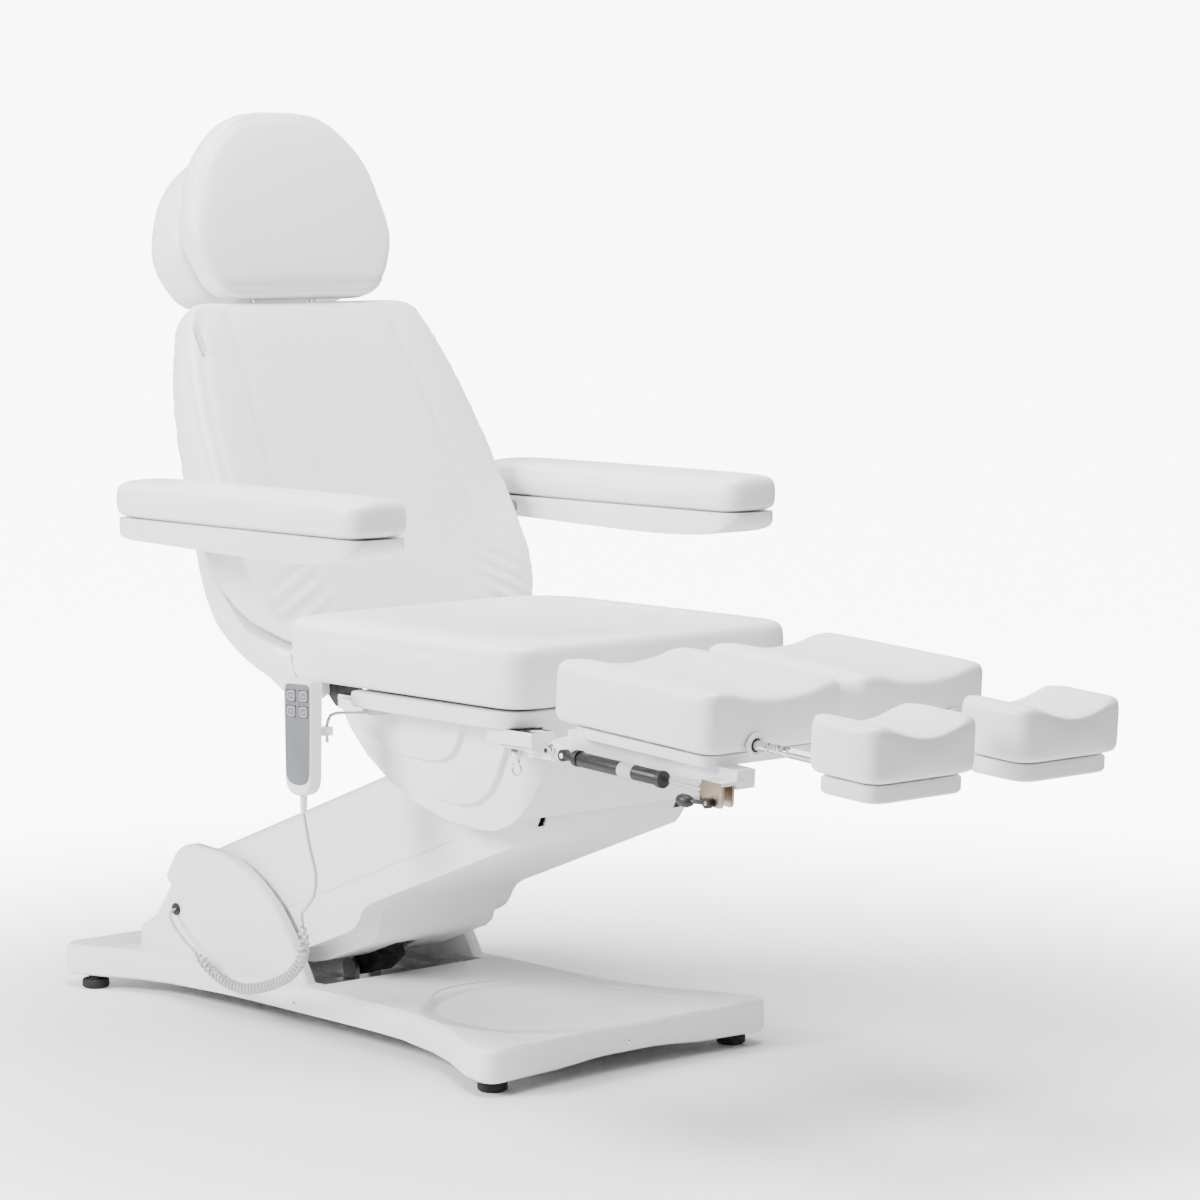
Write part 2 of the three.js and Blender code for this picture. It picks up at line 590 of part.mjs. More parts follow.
// An actuator along +X from its hinge: eye, gearbox and tube.
function actuatorBody(length, tube, bore) {
  const eye = strap([0, 0], [30, 0], 13, -16, 16);
  const gearbox = block(26, 70, -tube - 4, tube + 4, -tube - 4, tube + 4);
  const barrel = bar(tube, [60, 0, 0], [length, 0, 0]);
  return join(eye, gearbox, barrel)
    .subtract(alongY(6.6, 0, 0, -20, 20, 10))
    .subtract(bar(bore, [76, 0, 0], [length + 5, 0, 0], 12));
}

function actuatorRod(start, end, radius, eyeHalf) {
  return bar(radius, [start, 0, 0], [end, 0, 0], 12)
    .add(strap([end - 10, 0], [end, 0], 12, -eyeHalf, eyeHalf))
    .subtract(alongY(6, end, 0, -20, 20, 10));
}
put("lift_actuator_body", actuatorBody(206, 21, 10), black, liftGroup);
put("lift_actuator_rod", actuatorRod(96, liftReach, 9, 14), chrome, liftGroup);

// ---------------------------------------------------------------- seat
const trayTop = SEAT_BOTTOM - GAP;
const trayBottom = trayTop - TRAY_THICK;
const railTop = trayBottom - GAP;
const railBottom = railTop - 20;
const hingePlateY = 164; // the ears that carry the back's hinge
const BACK_MOTOR_X = -40;
const BACK_MOTOR_Z = 466;
const crossFrontX = SEAT_FRONT - 52; // front face of the cross bar that carries the leg rests
const LEVER_X = -40; // the back's lever, from the hinge
const LEVER_Z = -90;

// Black steel: two plates on the arm's far shaft, a frame under the tray, ears for the back and the leg rests.
function seatBracket() {
  const plateShape = (s) => {
    const shape = new THREE.Shape();
    const reach = -ARM_BOTTOM - WALL - 5;
    shape.moveTo(CARRY_X - reach * 0.86, CARRY_Z + reach * 0.5);
    shape.absarc(CARRY_X, CARRY_Z, reach, rad(150), rad(342), false);
    shape.lineTo(CARRY_X + reach, railTop);
    shape.lineTo(CARRY_X - reach, railTop);
    shape.closePath();
    const [low, high] = s > 0 ? [BRACKET_HALF - 7, BRACKET_HALF] : [-BRACKET_HALF, -BRACKET_HALF + 7];
    return plate("y", shape, low, high, 0, 5);
  };
  const shaft = alongY(TRUNNION, CARRY_X, CARRY_Z, -BRACKET_HALF, BRACKET_HALF);
  const rail = (s) => block(BACK_X + 40, crossFrontX, s * hingePlateY - 15, s * hingePlateY + 15, railBottom, railTop);
  const ear = (s) => {
    const shape = outline([
      [BACK_X - 22, BACK_Z - 18], [BACK_X + 20, railBottom], [BACK_X + 90, railBottom], [BACK_X + 90, railTop],
      [BACK_X + 24, BACK_Z + 2], [BACK_X + 14, BACK_Z + 18], [BACK_X - 20, BACK_Z + 18],
    ], [14, 0, 0, 0, 0, 10, 16]);
    const middle = s * hingePlateY;
    return plate("y", shape, middle - 4, middle + 4)
      .subtract(alongY(HINGE_RADIUS + 0.5, BACK_X, BACK_Z, middle - 6, middle + 6));
  };
  const crossRear = block(BACK_X + 60, BACK_X + 84, -hingePlateY, hingePlateY, railTop - 12, railTop);
  const crossFront = block(crossFrontX - 32, crossFrontX, -TRAY_HALF + 30, TRAY_HALF - 30, railBottom, railTop);
  const lug = (s) => plate("y", outline([
    [CARRY_X - 14, CARRY_Z + LINK_RISE - 14], [CARRY_X + 14, CARRY_Z + LINK_RISE - 14],
    [CARRY_X + 18, railTop], [CARRY_X - 18, railTop],
  ], [12, 12, 0, 0]), s > 0 ? 18 : -24, s > 0 ? 24 : -18);
  const linkPin = alongY(6, CARRY_X, CARRY_Z + LINK_RISE, -24, 24, 10);
  const topPlate = block(CARRY_X - 60, CARRY_X + 60, -hingePlateY, hingePlateY, railTop - 5, railTop);
  // seats for the two leg rests' upright pins
  const pinSeat = (s) => block(crossFrontX - 32, LEG_SWIVEL_X + 12,
    s * LEG_SWIVEL_Y - 20, s * LEG_SWIVEL_Y + 20, railBottom, railTop)
    .subtract(bar(9.5, [LEG_SWIVEL_X, s * LEG_SWIVEL_Y, 400], [LEG_SWIVEL_X, s * LEG_SWIVEL_Y, 520], 12));
  return join(mirrored(plateShape), shaft, mirrored(rail), mirrored(ear), crossRear, crossFront,
    mirrored(lug), linkPin, topPlate, mirrored(pinSeat));
}

// The cover under the seat: two side walls and a front wall, open below and behind for the arm.
function undercover() {
  const top = trayBottom - GAP;
  const side = new THREE.Shape();
  side.moveTo(-234, top);
  side.bezierCurveTo(-190, 418, -70, 348, 76, 347);
  side.quadraticCurveTo(140, 346, 168, 386);
  side.quadraticCurveTo(196, 432, SKIRT_FRONT, top);
  side.closePath();
  const plan = outline([
    [-260, -SKIRT_HALF], [SKIRT_FRONT, -SKIRT_HALF], [SKIRT_FRONT, SKIRT_HALF], [-260, SKIRT_HALF],
  ], [0, 60, 60, 0]);
  const inner = outline([
    [-300, -SKIRT_HALF + WALL], [SKIRT_FRONT - WALL, -SKIRT_HALF + WALL],
    [SKIRT_FRONT - WALL, SKIRT_HALF - WALL], [-300, SKIRT_HALF - WALL],
  ], [0, 56, 56, 0]);
  const hollow = new THREE.Shape();
  hollow.moveTo(-300, top + 5);
  hollow.lineTo(-300, 300);
  hollow.lineTo(100, 300);
  hollow.quadraticCurveTo(136, 346, 163, 388);
  hollow.quadraticCurveTo(191, 432, SKIRT_FRONT - 5, top + 5);
  hollow.closePath();
  const terrace = (s, reach, from, to, depth, middle) => {
    const shape = new THREE.Shape();
    shape.moveTo(from, top);
    shape.bezierCurveTo(from + 20, top - depth * 0.75, middle - 60, top - depth, middle, top - depth);
    shape.bezierCurveTo(middle + 70, top - depth, to - 20, top - depth * 0.55, to, top);
    shape.closePath();
    const [low, high] = s > 0 ? [SKIRT_HALF - 2, SKIRT_HALF + reach] : [-SKIRT_HALF - reach, -SKIRT_HALF + 2];
    return plate("y", shape, low, high, 0, 5);
  };
  const bracketRoom = mirrored((s) => block(crossFrontX - 34, SEAT_FRONT + 10,
    s > 0 ? SKIRT_HALF - 22 : -SKIRT_HALF - 10, s > 0 ? SKIRT_HALF + 10 : -SKIRT_HALF + 22,
    railBottom - 1, top + 2));
  const walls = plate("y", side, -SKIRT_HALF, SKIRT_HALF, 0, 6)
    .intersect(plate("z", plan, 300, top))
    .subtract(plate("y", hollow, -SKIRT_HALF + WALL, SKIRT_HALF - WALL, 0, 6)
      .intersect(plate("z", inner, 290, top + 10)));
  return join(walls, mirrored((s) => terrace(s, STEP, -214, 150, 122, 40)),
    mirrored((s) => terrace(s, 2 * STEP, -194, 64, 66, -22)))
    .subtract(bracketRoom);
}

function seatTray() {
  const shape = outline([
    [TRAY_REAR, -TRAY_HALF], [TRAY_FRONT, -TRAY_HALF], [TRAY_FRONT, TRAY_HALF], [TRAY_REAR, TRAY_HALF],
  ], [16, SEAT_CORNER - 8, SEAT_CORNER - 8, 16]);
  return plate("z", shape, trayBottom, trayTop, 2);
}

// The back's front plane, used to keep the seat cushion clear of it.
const backSin = Math.sin(rad(BACK_ANGLE));
const backCos = Math.cos(rad(BACK_ANGLE));
function seatCushion() {
  const shape = outline([
    [SEAT_REAR, -SEAT_HALF], [SEAT_FRONT, -SEAT_HALF], [SEAT_FRONT, SEAT_HALF], [SEAT_REAR, SEAT_HALF],
  ], [SEAT_REAR_CORNER, SEAT_CORNER, SEAT_CORNER, SEAT_REAR_CORNER]);
  const pad = plate("z", shape, SEAT_BOTTOM, SEAT_BOTTOM + SEAT_THICK, 16, 5, 2);
  const clearance = 12;
  const face = (z) => BACK_X + (BACK_FRONT + clearance) / backCos - (z - BACK_Z) * (backSin / backCos);
  const backRoom = outline([
    [BACK_X - 200, SEAT_BOTTOM - 5], [face(SEAT_BOTTOM - 5), SEAT_BOTTOM - 5],
    [face(SEAT_BOTTOM + SEAT_THICK + 5), SEAT_BOTTOM + SEAT_THICK + 5], [BACK_X - 200, SEAT_BOTTOM + SEAT_THICK + 5],
  ]);
  const lowerBackHalf = 248;
  const earRoom = block(BACK_X - 60, BACK_X + 58, -hingePlateY - 14, hingePlateY + 14, SEAT_BOTTOM - 5, BACK_Z + 40);
  return pad.subtract(plate("y", backRoom, -lowerBackHalf, lowerBackHalf)).subtract(earRoom);
}

put("seat_bracket", seatBracket(), blackMetal);
put("seat_undercover", undercover(), shell);
put("seat_tray", seatTray(), shell);
put("seat_cushion", seatCushion(), leather);

// ---------------------------------------------------------------- back
const backGroup = frameAt(BACK_X, 0, BACK_Z, -BACK_ANGLE);
const toBack = (x, z) => [x * backCos + z * backSin, -x * backSin + z * backCos];
const barHalf = 20;
const barY = 110;

// The back frame: a shaft on the hinge, two flat uprights joined by cross bars, and the lever for the motor.
function backFrame(grow = 0) {
  const upright = (s) => block(-22 - grow, -8 + grow, s * barY - barHalf - grow, s * barY + barHalf + grow,
    -10, 520 + grow);
  const cross = (z) => block(-22 - grow, -8 + grow, -barY, barY, z - 15 - grow, z + 15 + grow);
  const body = join(upright(1), upright(-1), cross(240), cross(405));
  if (grow > 0) return body.add(block(-22 - grow, -8 + grow, -barY - barHalf - grow, barY + barHalf + grow, -10, 120));
  const shaft = alongY(HINGE_RADIUS, 0, 0, -hingePlateY - 8, hingePlateY + 8);
  const boss = alongY(20, 0, 0, -hingePlateY + 8, hingePlateY - 8);
  const lever = (s) => strap([0, 0], toBack(LEVER_X, LEVER_Z), 14, s > 0 ? 14 : -22, s > 0 ? 22 : -14);
  // two stub arms out to the armrest pivots
  const pivot = toBack(ARMREST_PIVOT_X - BACK_X, ARMREST_PIVOT_Z - BACK_Z);
  const stub = (s) => bar(9, [pivot[0], s * (BACK_HALF + 4), pivot[1]], [pivot[0], s * (ARMREST_INNER + 40), pivot[1]])
    .add(block(-22, -8, s > 0 ? barY : -BACK_HALF - 6, s > 0 ? BACK_HALF + 6 : -barY, pivot[1] - 13, pivot[1] + 13))
    .add(alongY(14, pivot[0], pivot[1], s > 0 ? BACK_HALF + 4 : -ARMREST_INNER + 2,
      s > 0 ? ARMREST_INNER - 2 : -BACK_HALF - 4));
  return join(body, shaft, boss, mirrored(lever), mirrored(stub));
}

function backCushion() {
  const sideView = new THREE.Shape();
  sideView.moveTo(6, 24);
  sideView.lineTo(BACK_FRONT, 30);
  sideView.lineTo(BACK_FRONT, BACK_TOP - 22);
  sideView.quadraticCurveTo(BACK_FRONT, BACK_TOP, 0, BACK_TOP);
  sideView.quadraticCurveTo(-26, BACK_TOP, -32, BACK_TOP - 40);
  sideView.quadraticCurveTo(-64, 420, -70, 300);
  sideView.quadraticCurveTo(-72, 170, -36, 84);
  sideView.closePath();
  const front = outline([
    [-215, 20], [215, 20], [BACK_HALF, 120], [BACK_HALF, 250], [BACK_HALF - 10, 380],
    [BACK_HALF - 26, 480], [BACK_TOP_HALF, BACK_TOP], [-BACK_TOP_HALF, BACK_TOP], [-BACK_HALF + 26, 480],
    [-BACK_HALF + 10, 380], [-BACK_HALF, 250], [-BACK_HALF, 120],
  ], [30, 30, 45, 50, 40, 40, 44, 44, 40, 40, 50, 45]);
  const headBore = (s) => bar(7, [HEAD_BAR_X, s * HEAD_BAR_Y, BACK_TOP - 156],
    [HEAD_BAR_X, s * HEAD_BAR_Y, BACK_TOP + 30], 10);
  const pivot = toBack(ARMREST_PIVOT_X - BACK_X, ARMREST_PIVOT_Z - BACK_Z);
  const stubRoom = block(-23, -7, -BACK_HALF - 10, BACK_HALF + 10, pivot[1] - 14, pivot[1] + 14);
  return plate("y", sideView, -BACK_HALF - 5, BACK_HALF + 5, 0, 5)
    .intersect(plate("x", front, -90, 60))
    .subtract(backFrame(1))
    .subtract(mirrored(headBore))
    .subtract(stubRoom);
}

// The moulded cover behind and below the back cushion.
function backShell() {
  const half = 262;
  const lowHalf = 230;
  const sideView = new THREE.Shape();
  sideView.moveTo(-78, 300);
  sideView.quadraticCurveTo(-114, 230, -96, 120);
  sideView.quadraticCurveTo(-76, 50, -40, 8);
  sideView.lineTo(-20, -40);
  sideView.lineTo(-2, -40);
  sideView.lineTo(22, 16);
  sideView.lineTo(6, 20);
  sideView.lineTo(-38, 79);
  sideView.quadraticCurveTo(-76, 168, -74, 300);
  sideView.closePath();
  const rear = outline([
    [-lowHalf, -44], [lowHalf, -44], [half, 110], [half - 20, 310], [-half + 20, 310], [-half, 110],
  ], [30, 30, 60, 40, 40, 60]);
  const room = hingePlateY + 12;
  const hingeRoom = block(-140, 60, -room, room, -60, 34);
  const uprightRoom = block(-26, 60, -room, room, -60, 60);
  return plate("y", sideView, -half, half, 0, 5)
    .intersect(plate("x", rear, -130, 60))
    .subtract(hingeRoom)
    .subtract(uprightRoom);
}
put("back_frame", backFrame(), steel, backGroup);
put("back_cushion", backCushion(), leather, backGroup);
put("back_shell", backShell(), shell, backGroup);

// The back actuator lies level under the tray and pulls the lever.
const leverWorld = [BACK_X + LEVER_X, BACK_Z + LEVER_Z];
const backReach = Math.hypot(leverWorld[0] - BACK_MOTOR_X, leverWorld[1] - BACK_MOTOR_Z);
const backMotorAngle = THREE.MathUtils.radToDeg(
  Math.atan2(leverWorld[1] - BACK_MOTOR_Z, leverWorld[0] - BACK_MOTOR_X));
const BACK_TUBE_END = 174;
const backMotorGroup = frameAt(BACK_MOTOR_X, 0, BACK_MOTOR_Z, -backMotorAngle);
const backTube = join(
  bar(13, [30, 0, 0], [BACK_TUBE_END, 0, 0]),
  block(-6, 44, -14, 14, -13, 13),
  bar(12, [0, 23, 0], [120, 23, 0]))
  .subtract(bar(8, [50, 0, 0], [200, 0, 0], 12));
put("back_actuator_body", backTube, black, backMotorGroup);
put("back_actuator_rod", actuatorRod(BACK_TUBE_END - 22, backReach, 7, 11), chrome, backMotorGroup);

// ---------------------------------------------------------------- headrest
const headGroup = frameAt(-18, 0, HEAD_Z, HEAD_ANGLE, backGroup);

function headOutline(half, height, base) {
  return outline([
    [-half + 44, base], [half - 44, base], [half, base + height * 0.3], [half - 34, base + height * 0.74],
    [half * 0.42, base + height], [-half * 0.42, base + height], [-half + 34, base + height * 0.74],
    [-half, base + height * 0.3],
  ], [38, 38, 40, 46, 46, 46, 46, 40]);
}
put("headrest_bar", join(
  mirrored((s) => bar(6, [HEAD_BAR_X, s * HEAD_BAR_Y, BACK_TOP - 146],
    [HEAD_BAR_X, s * HEAD_BAR_Y, HEAD_Z + 30], 8)),
  block(HEAD_BAR_X - 8, HEAD_BAR_X + 4, -HEAD_BAR_Y - 8, HEAD_BAR_Y + 8, HEAD_Z + 24, HEAD_Z + 38)),
chrome, backGroup);
const headCore = plate("x", headOutline(HEAD_HALF - 8, CORE_HEIGHT, 4), -CORE_THICK, -GAP, 16, 4, 2)
  .subtract(block(-44, 0, -HEAD_BAR_Y - 16, HEAD_BAR_Y + 16, -10, 96));
const headPillow = plate("x", headOutline(HEAD_HALF, HEAD_HEIGHT, 0), GAP, PILLOW_THICK, 16, 4, 2);
put("headrest_core", headCore, leather, headGroup);
put("headrest_pillow", headPillow, leather, headGroup);

// ---------------------------------------------------------------- armrests
function armrest(s) {
  const [low, high] = s > 0 ? [ARMREST_INNER, ARMREST_OUTER] : [-ARMREST_OUTER, -ARMREST_INNER];
  const plan = outline([[ARMREST_REAR, low], [ARMREST_FRONT, low], [ARMREST_FRONT, high], [ARMREST_REAR, high]], 40);
  const pad = plate("z", plan, ARMREST_SEAM + GAP, ARMREST_TOP, 12, 4, 2);
  const under = new THREE.Shape();
  under.moveTo(ARMREST_REAR + 6, ARMREST_SEAM);
  under.quadraticCurveTo(ARMREST_REAR + 8, ARMREST_SEAM - 28, ARMREST_REAR + 60, ARMREST_SEAM - 30);
  under.bezierCurveTo(-270, ARMREST_SEAM - 32, -120, ARMREST_SEAM - 42, -10, ARMREST_SEAM - 34);
  under.quadraticCurveTo(ARMREST_FRONT - 8, ARMREST_SEAM - 26, ARMREST_FRONT - 6, ARMREST_SEAM);
  under.closePath();
  const planUnder = outline([
    [ARMREST_REAR + 5, low + 5], [ARMREST_FRONT - 5, low + 5],
    [ARMREST_FRONT - 5, high - 5], [ARMREST_REAR + 5, high - 5],
  ], 36);
  const cup = plate("y", under, low, high, 0, 6)
    .intersect(plate("z", planUnder, 600, ARMREST_SEAM))
    .subtract(alongY(9.6, ARMREST_PIVOT_X, ARMREST_PIVOT_Z, s > 0 ? low - 5 : high - 46, s > 0 ? low + 46 : high + 5));
  return [pad, cup];
}
[["right", -1], ["left", 1]].forEach(([side, s]) => {
  const [pad, cup] = armrest(s);
  put(`armrest_shell_${side}`, cup, shell);
  put(`armrest_pad_${side}`, pad, leather);
});

// ---------------------------------------------------------------- leg rests
const SPRING_Y = 238;
const SPRING_START = [38, 0];
const SPRING_END = [322, 2];
const LEVER_PIVOT = [330, -10];
const BEAM_HALF = 16;
const BEAM_Y = 205;
const BEAM_END = 345;
const swivelTop = railBottom - GAP;

// Two numbers either side of a place, in rising order, whichever side of the chair they are on.
const span = (s, near, far) => (s > 0 ? [near, far] : [-far, -near]);

// The white block that turns on the upright pin and carries the leg's tilt bolt and the spring's rear eye.
function swivelBracket(s) {
  const x = LEG_SWIVEL_X;
  const y = s * LEG_SWIVEL_Y;
  const disc = bar(16, [x, y, swivelTop - 7], [x, y, swivelTop])
    .add(block(x - 60, x, y - 14, y + 14, swivelTop - 5, swivelTop));
  const stem = bar(9, [x, y, LEG_TILT_Z - 13], [x, y, railTop - 1]);
  const arm = (low, high) => plate("y", outline([
    [x - 16, LEG_TILT_Z - 14], [LEG_TILT_X + 14, LEG_TILT_Z - 14], [LEG_TILT_X + 14, LEG_TILT_Z + 12],
    [LEG_TILT_X - 10, swivelTop - 2], [x - 16, swivelTop - 2],
  ], [4, 10, 10, 6, 0]), low, high);
  const [innerLow, innerHigh] = span(s, LEG_SWIVEL_Y - 48, LEG_SWIVEL_Y - 42);
  const [outerLow, outerHigh] = span(s, LEG_SWIVEL_Y - 1, LEG_SWIVEL_Y + 3);
  const [blockLow, blockHigh] = span(s, LEG_SWIVEL_Y - 48, LEG_SWIVEL_Y + 3);
  const body = block(x - 16, x + 10, blockLow, blockHigh, LEG_TILT_Z - 14, swivelTop - 2);
  const [boltLow, boltHigh] = span(s, LEG_SWIVEL_Y - 48, LEG_SWIVEL_Y + 8);
  const bolt = alongY(6, LEG_TILT_X, LEG_TILT_Z, boltLow, boltHigh, 10);
  const [headLow, headHigh] = span(s, LEG_SWIVEL_Y + 2, LEG_SWIVEL_Y + 8);
  const head = alongY(9, LEG_TILT_X, LEG_TILT_Z, headLow, headHigh, 6);
  // the spring's rear eye sits on a pin ahead of the tilt bolt
  const eyeX = LEG_TILT_X + SPRING_START[0] * Math.cos(rad(LEG_ANGLE));
  const eyeZ = LEG_TILT_Z - SPRING_START[0] * Math.sin(rad(LEG_ANGLE));
  const [pinLow, pinHigh] = span(s, LEG_SWIVEL_Y, SPRING_Y + 6);
  const eyeArm = strap([LEG_TILT_X, LEG_TILT_Z], [eyeX, eyeZ], 8, outerLow, outerHigh);
  const pin = alongY(3.6, eyeX, eyeZ, pinLow, pinHigh, 10);
  return join(disc, stem, arm(innerLow, innerHigh), arm(outerLow, outerHigh), body, bolt, head, eyeArm, pin);
}

// The spring-loaded pin that locks the swivel; its ring hangs below.
const PLUNGER_X = LEG_SWIVEL_X - 42;
function lockPlunger(s) {
  const y = s * LEG_SWIVEL_Y;
  const top = swivelTop - 5 - GAP;
  const ring = new THREE.TorusGeometry(9, 1.4, 6, 12);
  ring.rotateX(Math.PI / 2);
  ring.translate(PLUNGER_X, y, top - 29);
  return join(bar(8, [PLUNGER_X, y, top - 12], [PLUNGER_X, y, top]),
    bar(5, [PLUNGER_X, y, top - 22], [PLUNGER_X, y, top - 10], 10), solid(ring));
}

// Leg pieces are drawn from the tilt axis. Y stays the chair's own.
function legBeam(s) {
  const y = s * BEAM_Y;
  const eye = strap([0, 0], [40, 14], 13, y - 14, y + 14)
    .subtract(alongY(6.6, 0, 0, y - 20, y + 20, 12));
  const channel = block(24, BEAM_END, y - BEAM_HALF, y + BEAM_HALF, 6, 30);
  const [low, high] = span(s, LEG_INNER + 22, LEG_OUTER - 22);
  const legEnd = LEG_START + LEG_LENGTH;
  const top = plate("z", outline([
    [LEG_START + 26, low], [legEnd - 26, low], [legEnd - 26, high], [LEG_START + 26, high],
  ], 20), 29, LEG_PAD_BOTTOM - GAP);
  // a clevis on the beam's outer side takes the spring's front eye
  const clevis = (place) => {
    const [from, to] = span(s, place - 2, place + 2);
    return plate("y", outline([[308, 14], [308, -14], [348, -16], [348, 14]], 6), from, to);
  };
  const [bridgeLow, bridgeHigh] = span(s, BEAM_Y, SPRING_Y + 11);
  const bridge = block(310, 346, bridgeLow, bridgeHigh, 12, 17);
  const [pinLow, pinHigh] = span(s, SPRING_Y + 9, SPRING_Y + 22);
  const leverPin = alongY(3, ...LEVER_PIVOT, pinLow, pinHigh, 10);
  return join(eye, channel, top, clevis(SPRING_Y - 9), clevis(SPRING_Y + 9), bridge, leverPin);
}

function legPad(s) {
  const [low, high] = span(s, LEG_INNER, LEG_OUTER);
  const end = LEG_START + LEG_LENGTH;
  const shape = outline([[LEG_START, low], [end, low], [end, high], [LEG_START, high]], [22, 34, 34, 22]);
  const bore = bar(FOOT_ROD_RADIUS + 0.6, [end - 222, s * FOOT_ROD_Y, FOOT_ROD_Z],
    [end + 10, s * FOOT_ROD_Y, FOOT_ROD_Z], 12);
  return plate("z", shape, LEG_PAD_BOTTOM, LEG_PAD_BOTTOM + LEG_PAD_THICK, 12, 4, 2).subtract(bore);
}

function gasCylinder(s) {
  const y = s * SPRING_Y;
  const [ax, az] = SPRING_START;
  return join(
    bar(10, [ax + 22, y, az], [ax + 190, y, az + 1.2]),
    bar(6, [ax + 4, y, az], [ax + 26, y, az], 10),
    alongY(8, ax, az, y - 5, y + 5))
    .subtract(bar(4.5, [ax + 60, y, az + 0.4], [ax + 196, y, az + 1.3], 10))
    .subtract(alongY(4, ax, az, y - 8, y + 8, 10));
}

function gasRod(s) {
  const y = s * SPRING_Y;
  const [ax, az] = SPRING_START;
  const [bx, bz] = SPRING_END;
  return bar(4, [ax + 70, y, az + 0.5], [bx - 4, y, bz], 10)
    .add(alongY(6.5, bx, bz, y - 5, y + 5))
    .add(block(bx - 22, bx - 4, y - 5, y + 5, bz - 5, bz + 5));
}

// The release lever with its drop-shaped black knob, pointing back along the spring.
function releaseLever(s) {
  const y = s * (SPRING_Y + 17);
  const [px, pz] = LEVER_PIVOT;
  const knob = new THREE.SphereGeometry(9, 10, 6);
  knob.scale(1.7, 1, 1);
  knob.translate(px - 42, y, pz - 4);
  return join(alongY(7, px, pz, y - 4, y + 4, 12), bar(3, [px, y, pz], [px - 32, y, pz - 3], 8), solid(knob))
    .subtract(alongY(3.5, px, pz, y - 8, y + 8, 10));
}

function footTray(s) {
  const middle = s * (LEG_INNER + LEG_OUTER) / 2;
  const half = FOOTREST_WIDTH / 2 - 16;
  const rear = FOOTREST_START + 14;
  const front = FOOTREST_START + FOOTREST_LENGTH - 14;
  const tray = plate("z", outline([
    [rear, middle - half], [front, middle - half], [front, middle + half], [rear, middle + half],
  ], 26), FOOT_ROD_Z - 31, FOOT_ROD_Z - 9, 3);
  const y = s * FOOT_ROD_Y;
  const post = block(FOOTREST_START + 24, FOOTREST_START + 56, y - 7, y + 7, FOOT_ROD_Z - 12, FOOT_ROD_Z + 3);
  return join(tray, post, footRod(y));
}

// The round rod that slides in the leg rest, with grooves for its stops.
function footRod(y) {
  const start = LEG_START + LEG_LENGTH - 110;
  const end = FOOTREST_START + 60;
  const r = FOOT_ROD_RADIUS;
  const profile = [[0, start], [r, start]];
  [0, 1, 2].forEach((k) => {
    const x = LEG_START + LEG_LENGTH + 24 + 18 * k;
    profile.push([r, x], [r - 1.8, x + 1], [r - 1.8, x + 4], [r, x + 5]);
  });
  profile.push([r, end], [0, end]);
  const geometry = new THREE.LatheGeometry(profile.map((p) => new THREE.Vector2(...p)), 10);
  geometry.rotateZ(-Math.PI / 2);
  geometry.translate(0, y, FOOT_ROD_Z);
  return solid(geometry);
}

function footPad(s) {
  const middle = s * (LEG_INNER + LEG_OUTER) / 2;
  const half = FOOTREST_WIDTH / 2;
  const bottom = FOOT_ROD_Z - 9 + GAP;
  const pad = plate("z", outline([
    [FOOTREST_START, middle - half], [FOOTREST_START + FOOTREST_LENGTH, middle - half],
    [FOOTREST_START + FOOTREST_LENGTH, middle + half], [FOOTREST_START, middle + half],
  ], 34), bottom, bottom + FOOTREST_THICK, 10, 4, 2);
  // the trough between the two lobes
  const trough = bar(150, [FOOTREST_START - 20, middle, bottom + FOOTREST_THICK + 132],
    [FOOTREST_START + FOOTREST_LENGTH + 20, middle, bottom + FOOTREST_THICK + 132], 44);
  const y = s * FOOT_ROD_Y;
  const rodRoom = block(FOOTREST_START - 5, FOOTREST_START + 62, y - FOOT_ROD_RADIUS - 1, y + FOOT_ROD_RADIUS + 1,
    FOOT_ROD_Z - 12, FOOT_ROD_Z + FOOT_ROD_RADIUS + 1);
  return pad.subtract(trough).subtract(rodRoom);
}

[["right", -1], ["left", 1]].forEach(([side, s]) => {
  put(`swivel_bracket_${side}`, swivelBracket(s), whiteMetal);
  put(`lock_plunger_${side}`, lockPlunger(s), chrome);
  const legGroup = frameAt(LEG_TILT_X, 0, LEG_TILT_Z, LEG_ANGLE);
  put(`leg_beam_${side}`, legBeam(s), whiteMetal, legGroup);
  put(`leg_pad_${side}`, legPad(s), leather, legGroup);
  put(`gas_spring_cylinder_${side}`, gasCylinder(s), black, legGroup);
  put(`gas_spring_rod_${side}`, gasRod(s), chrome, legGroup);
  put(`release_lever_${side}`, releaseLever(s), black, legGroup);
  put(`footrest_tray_${side}`, footTray(s), whiteMetal, legGroup);
  put(`footrest_pad_${side}`, footPad(s), leather, legGroup);
});

// ---------------------------------------------------------------- handset and cord
const handsetGroup = new THREE.Group();
handsetGroup.position.set(HANDSET.x, HANDSET.y, HANDSET.z);
handsetGroup.rotation.z = rad(HANDSET.turn);
chair.add(handsetGroup);

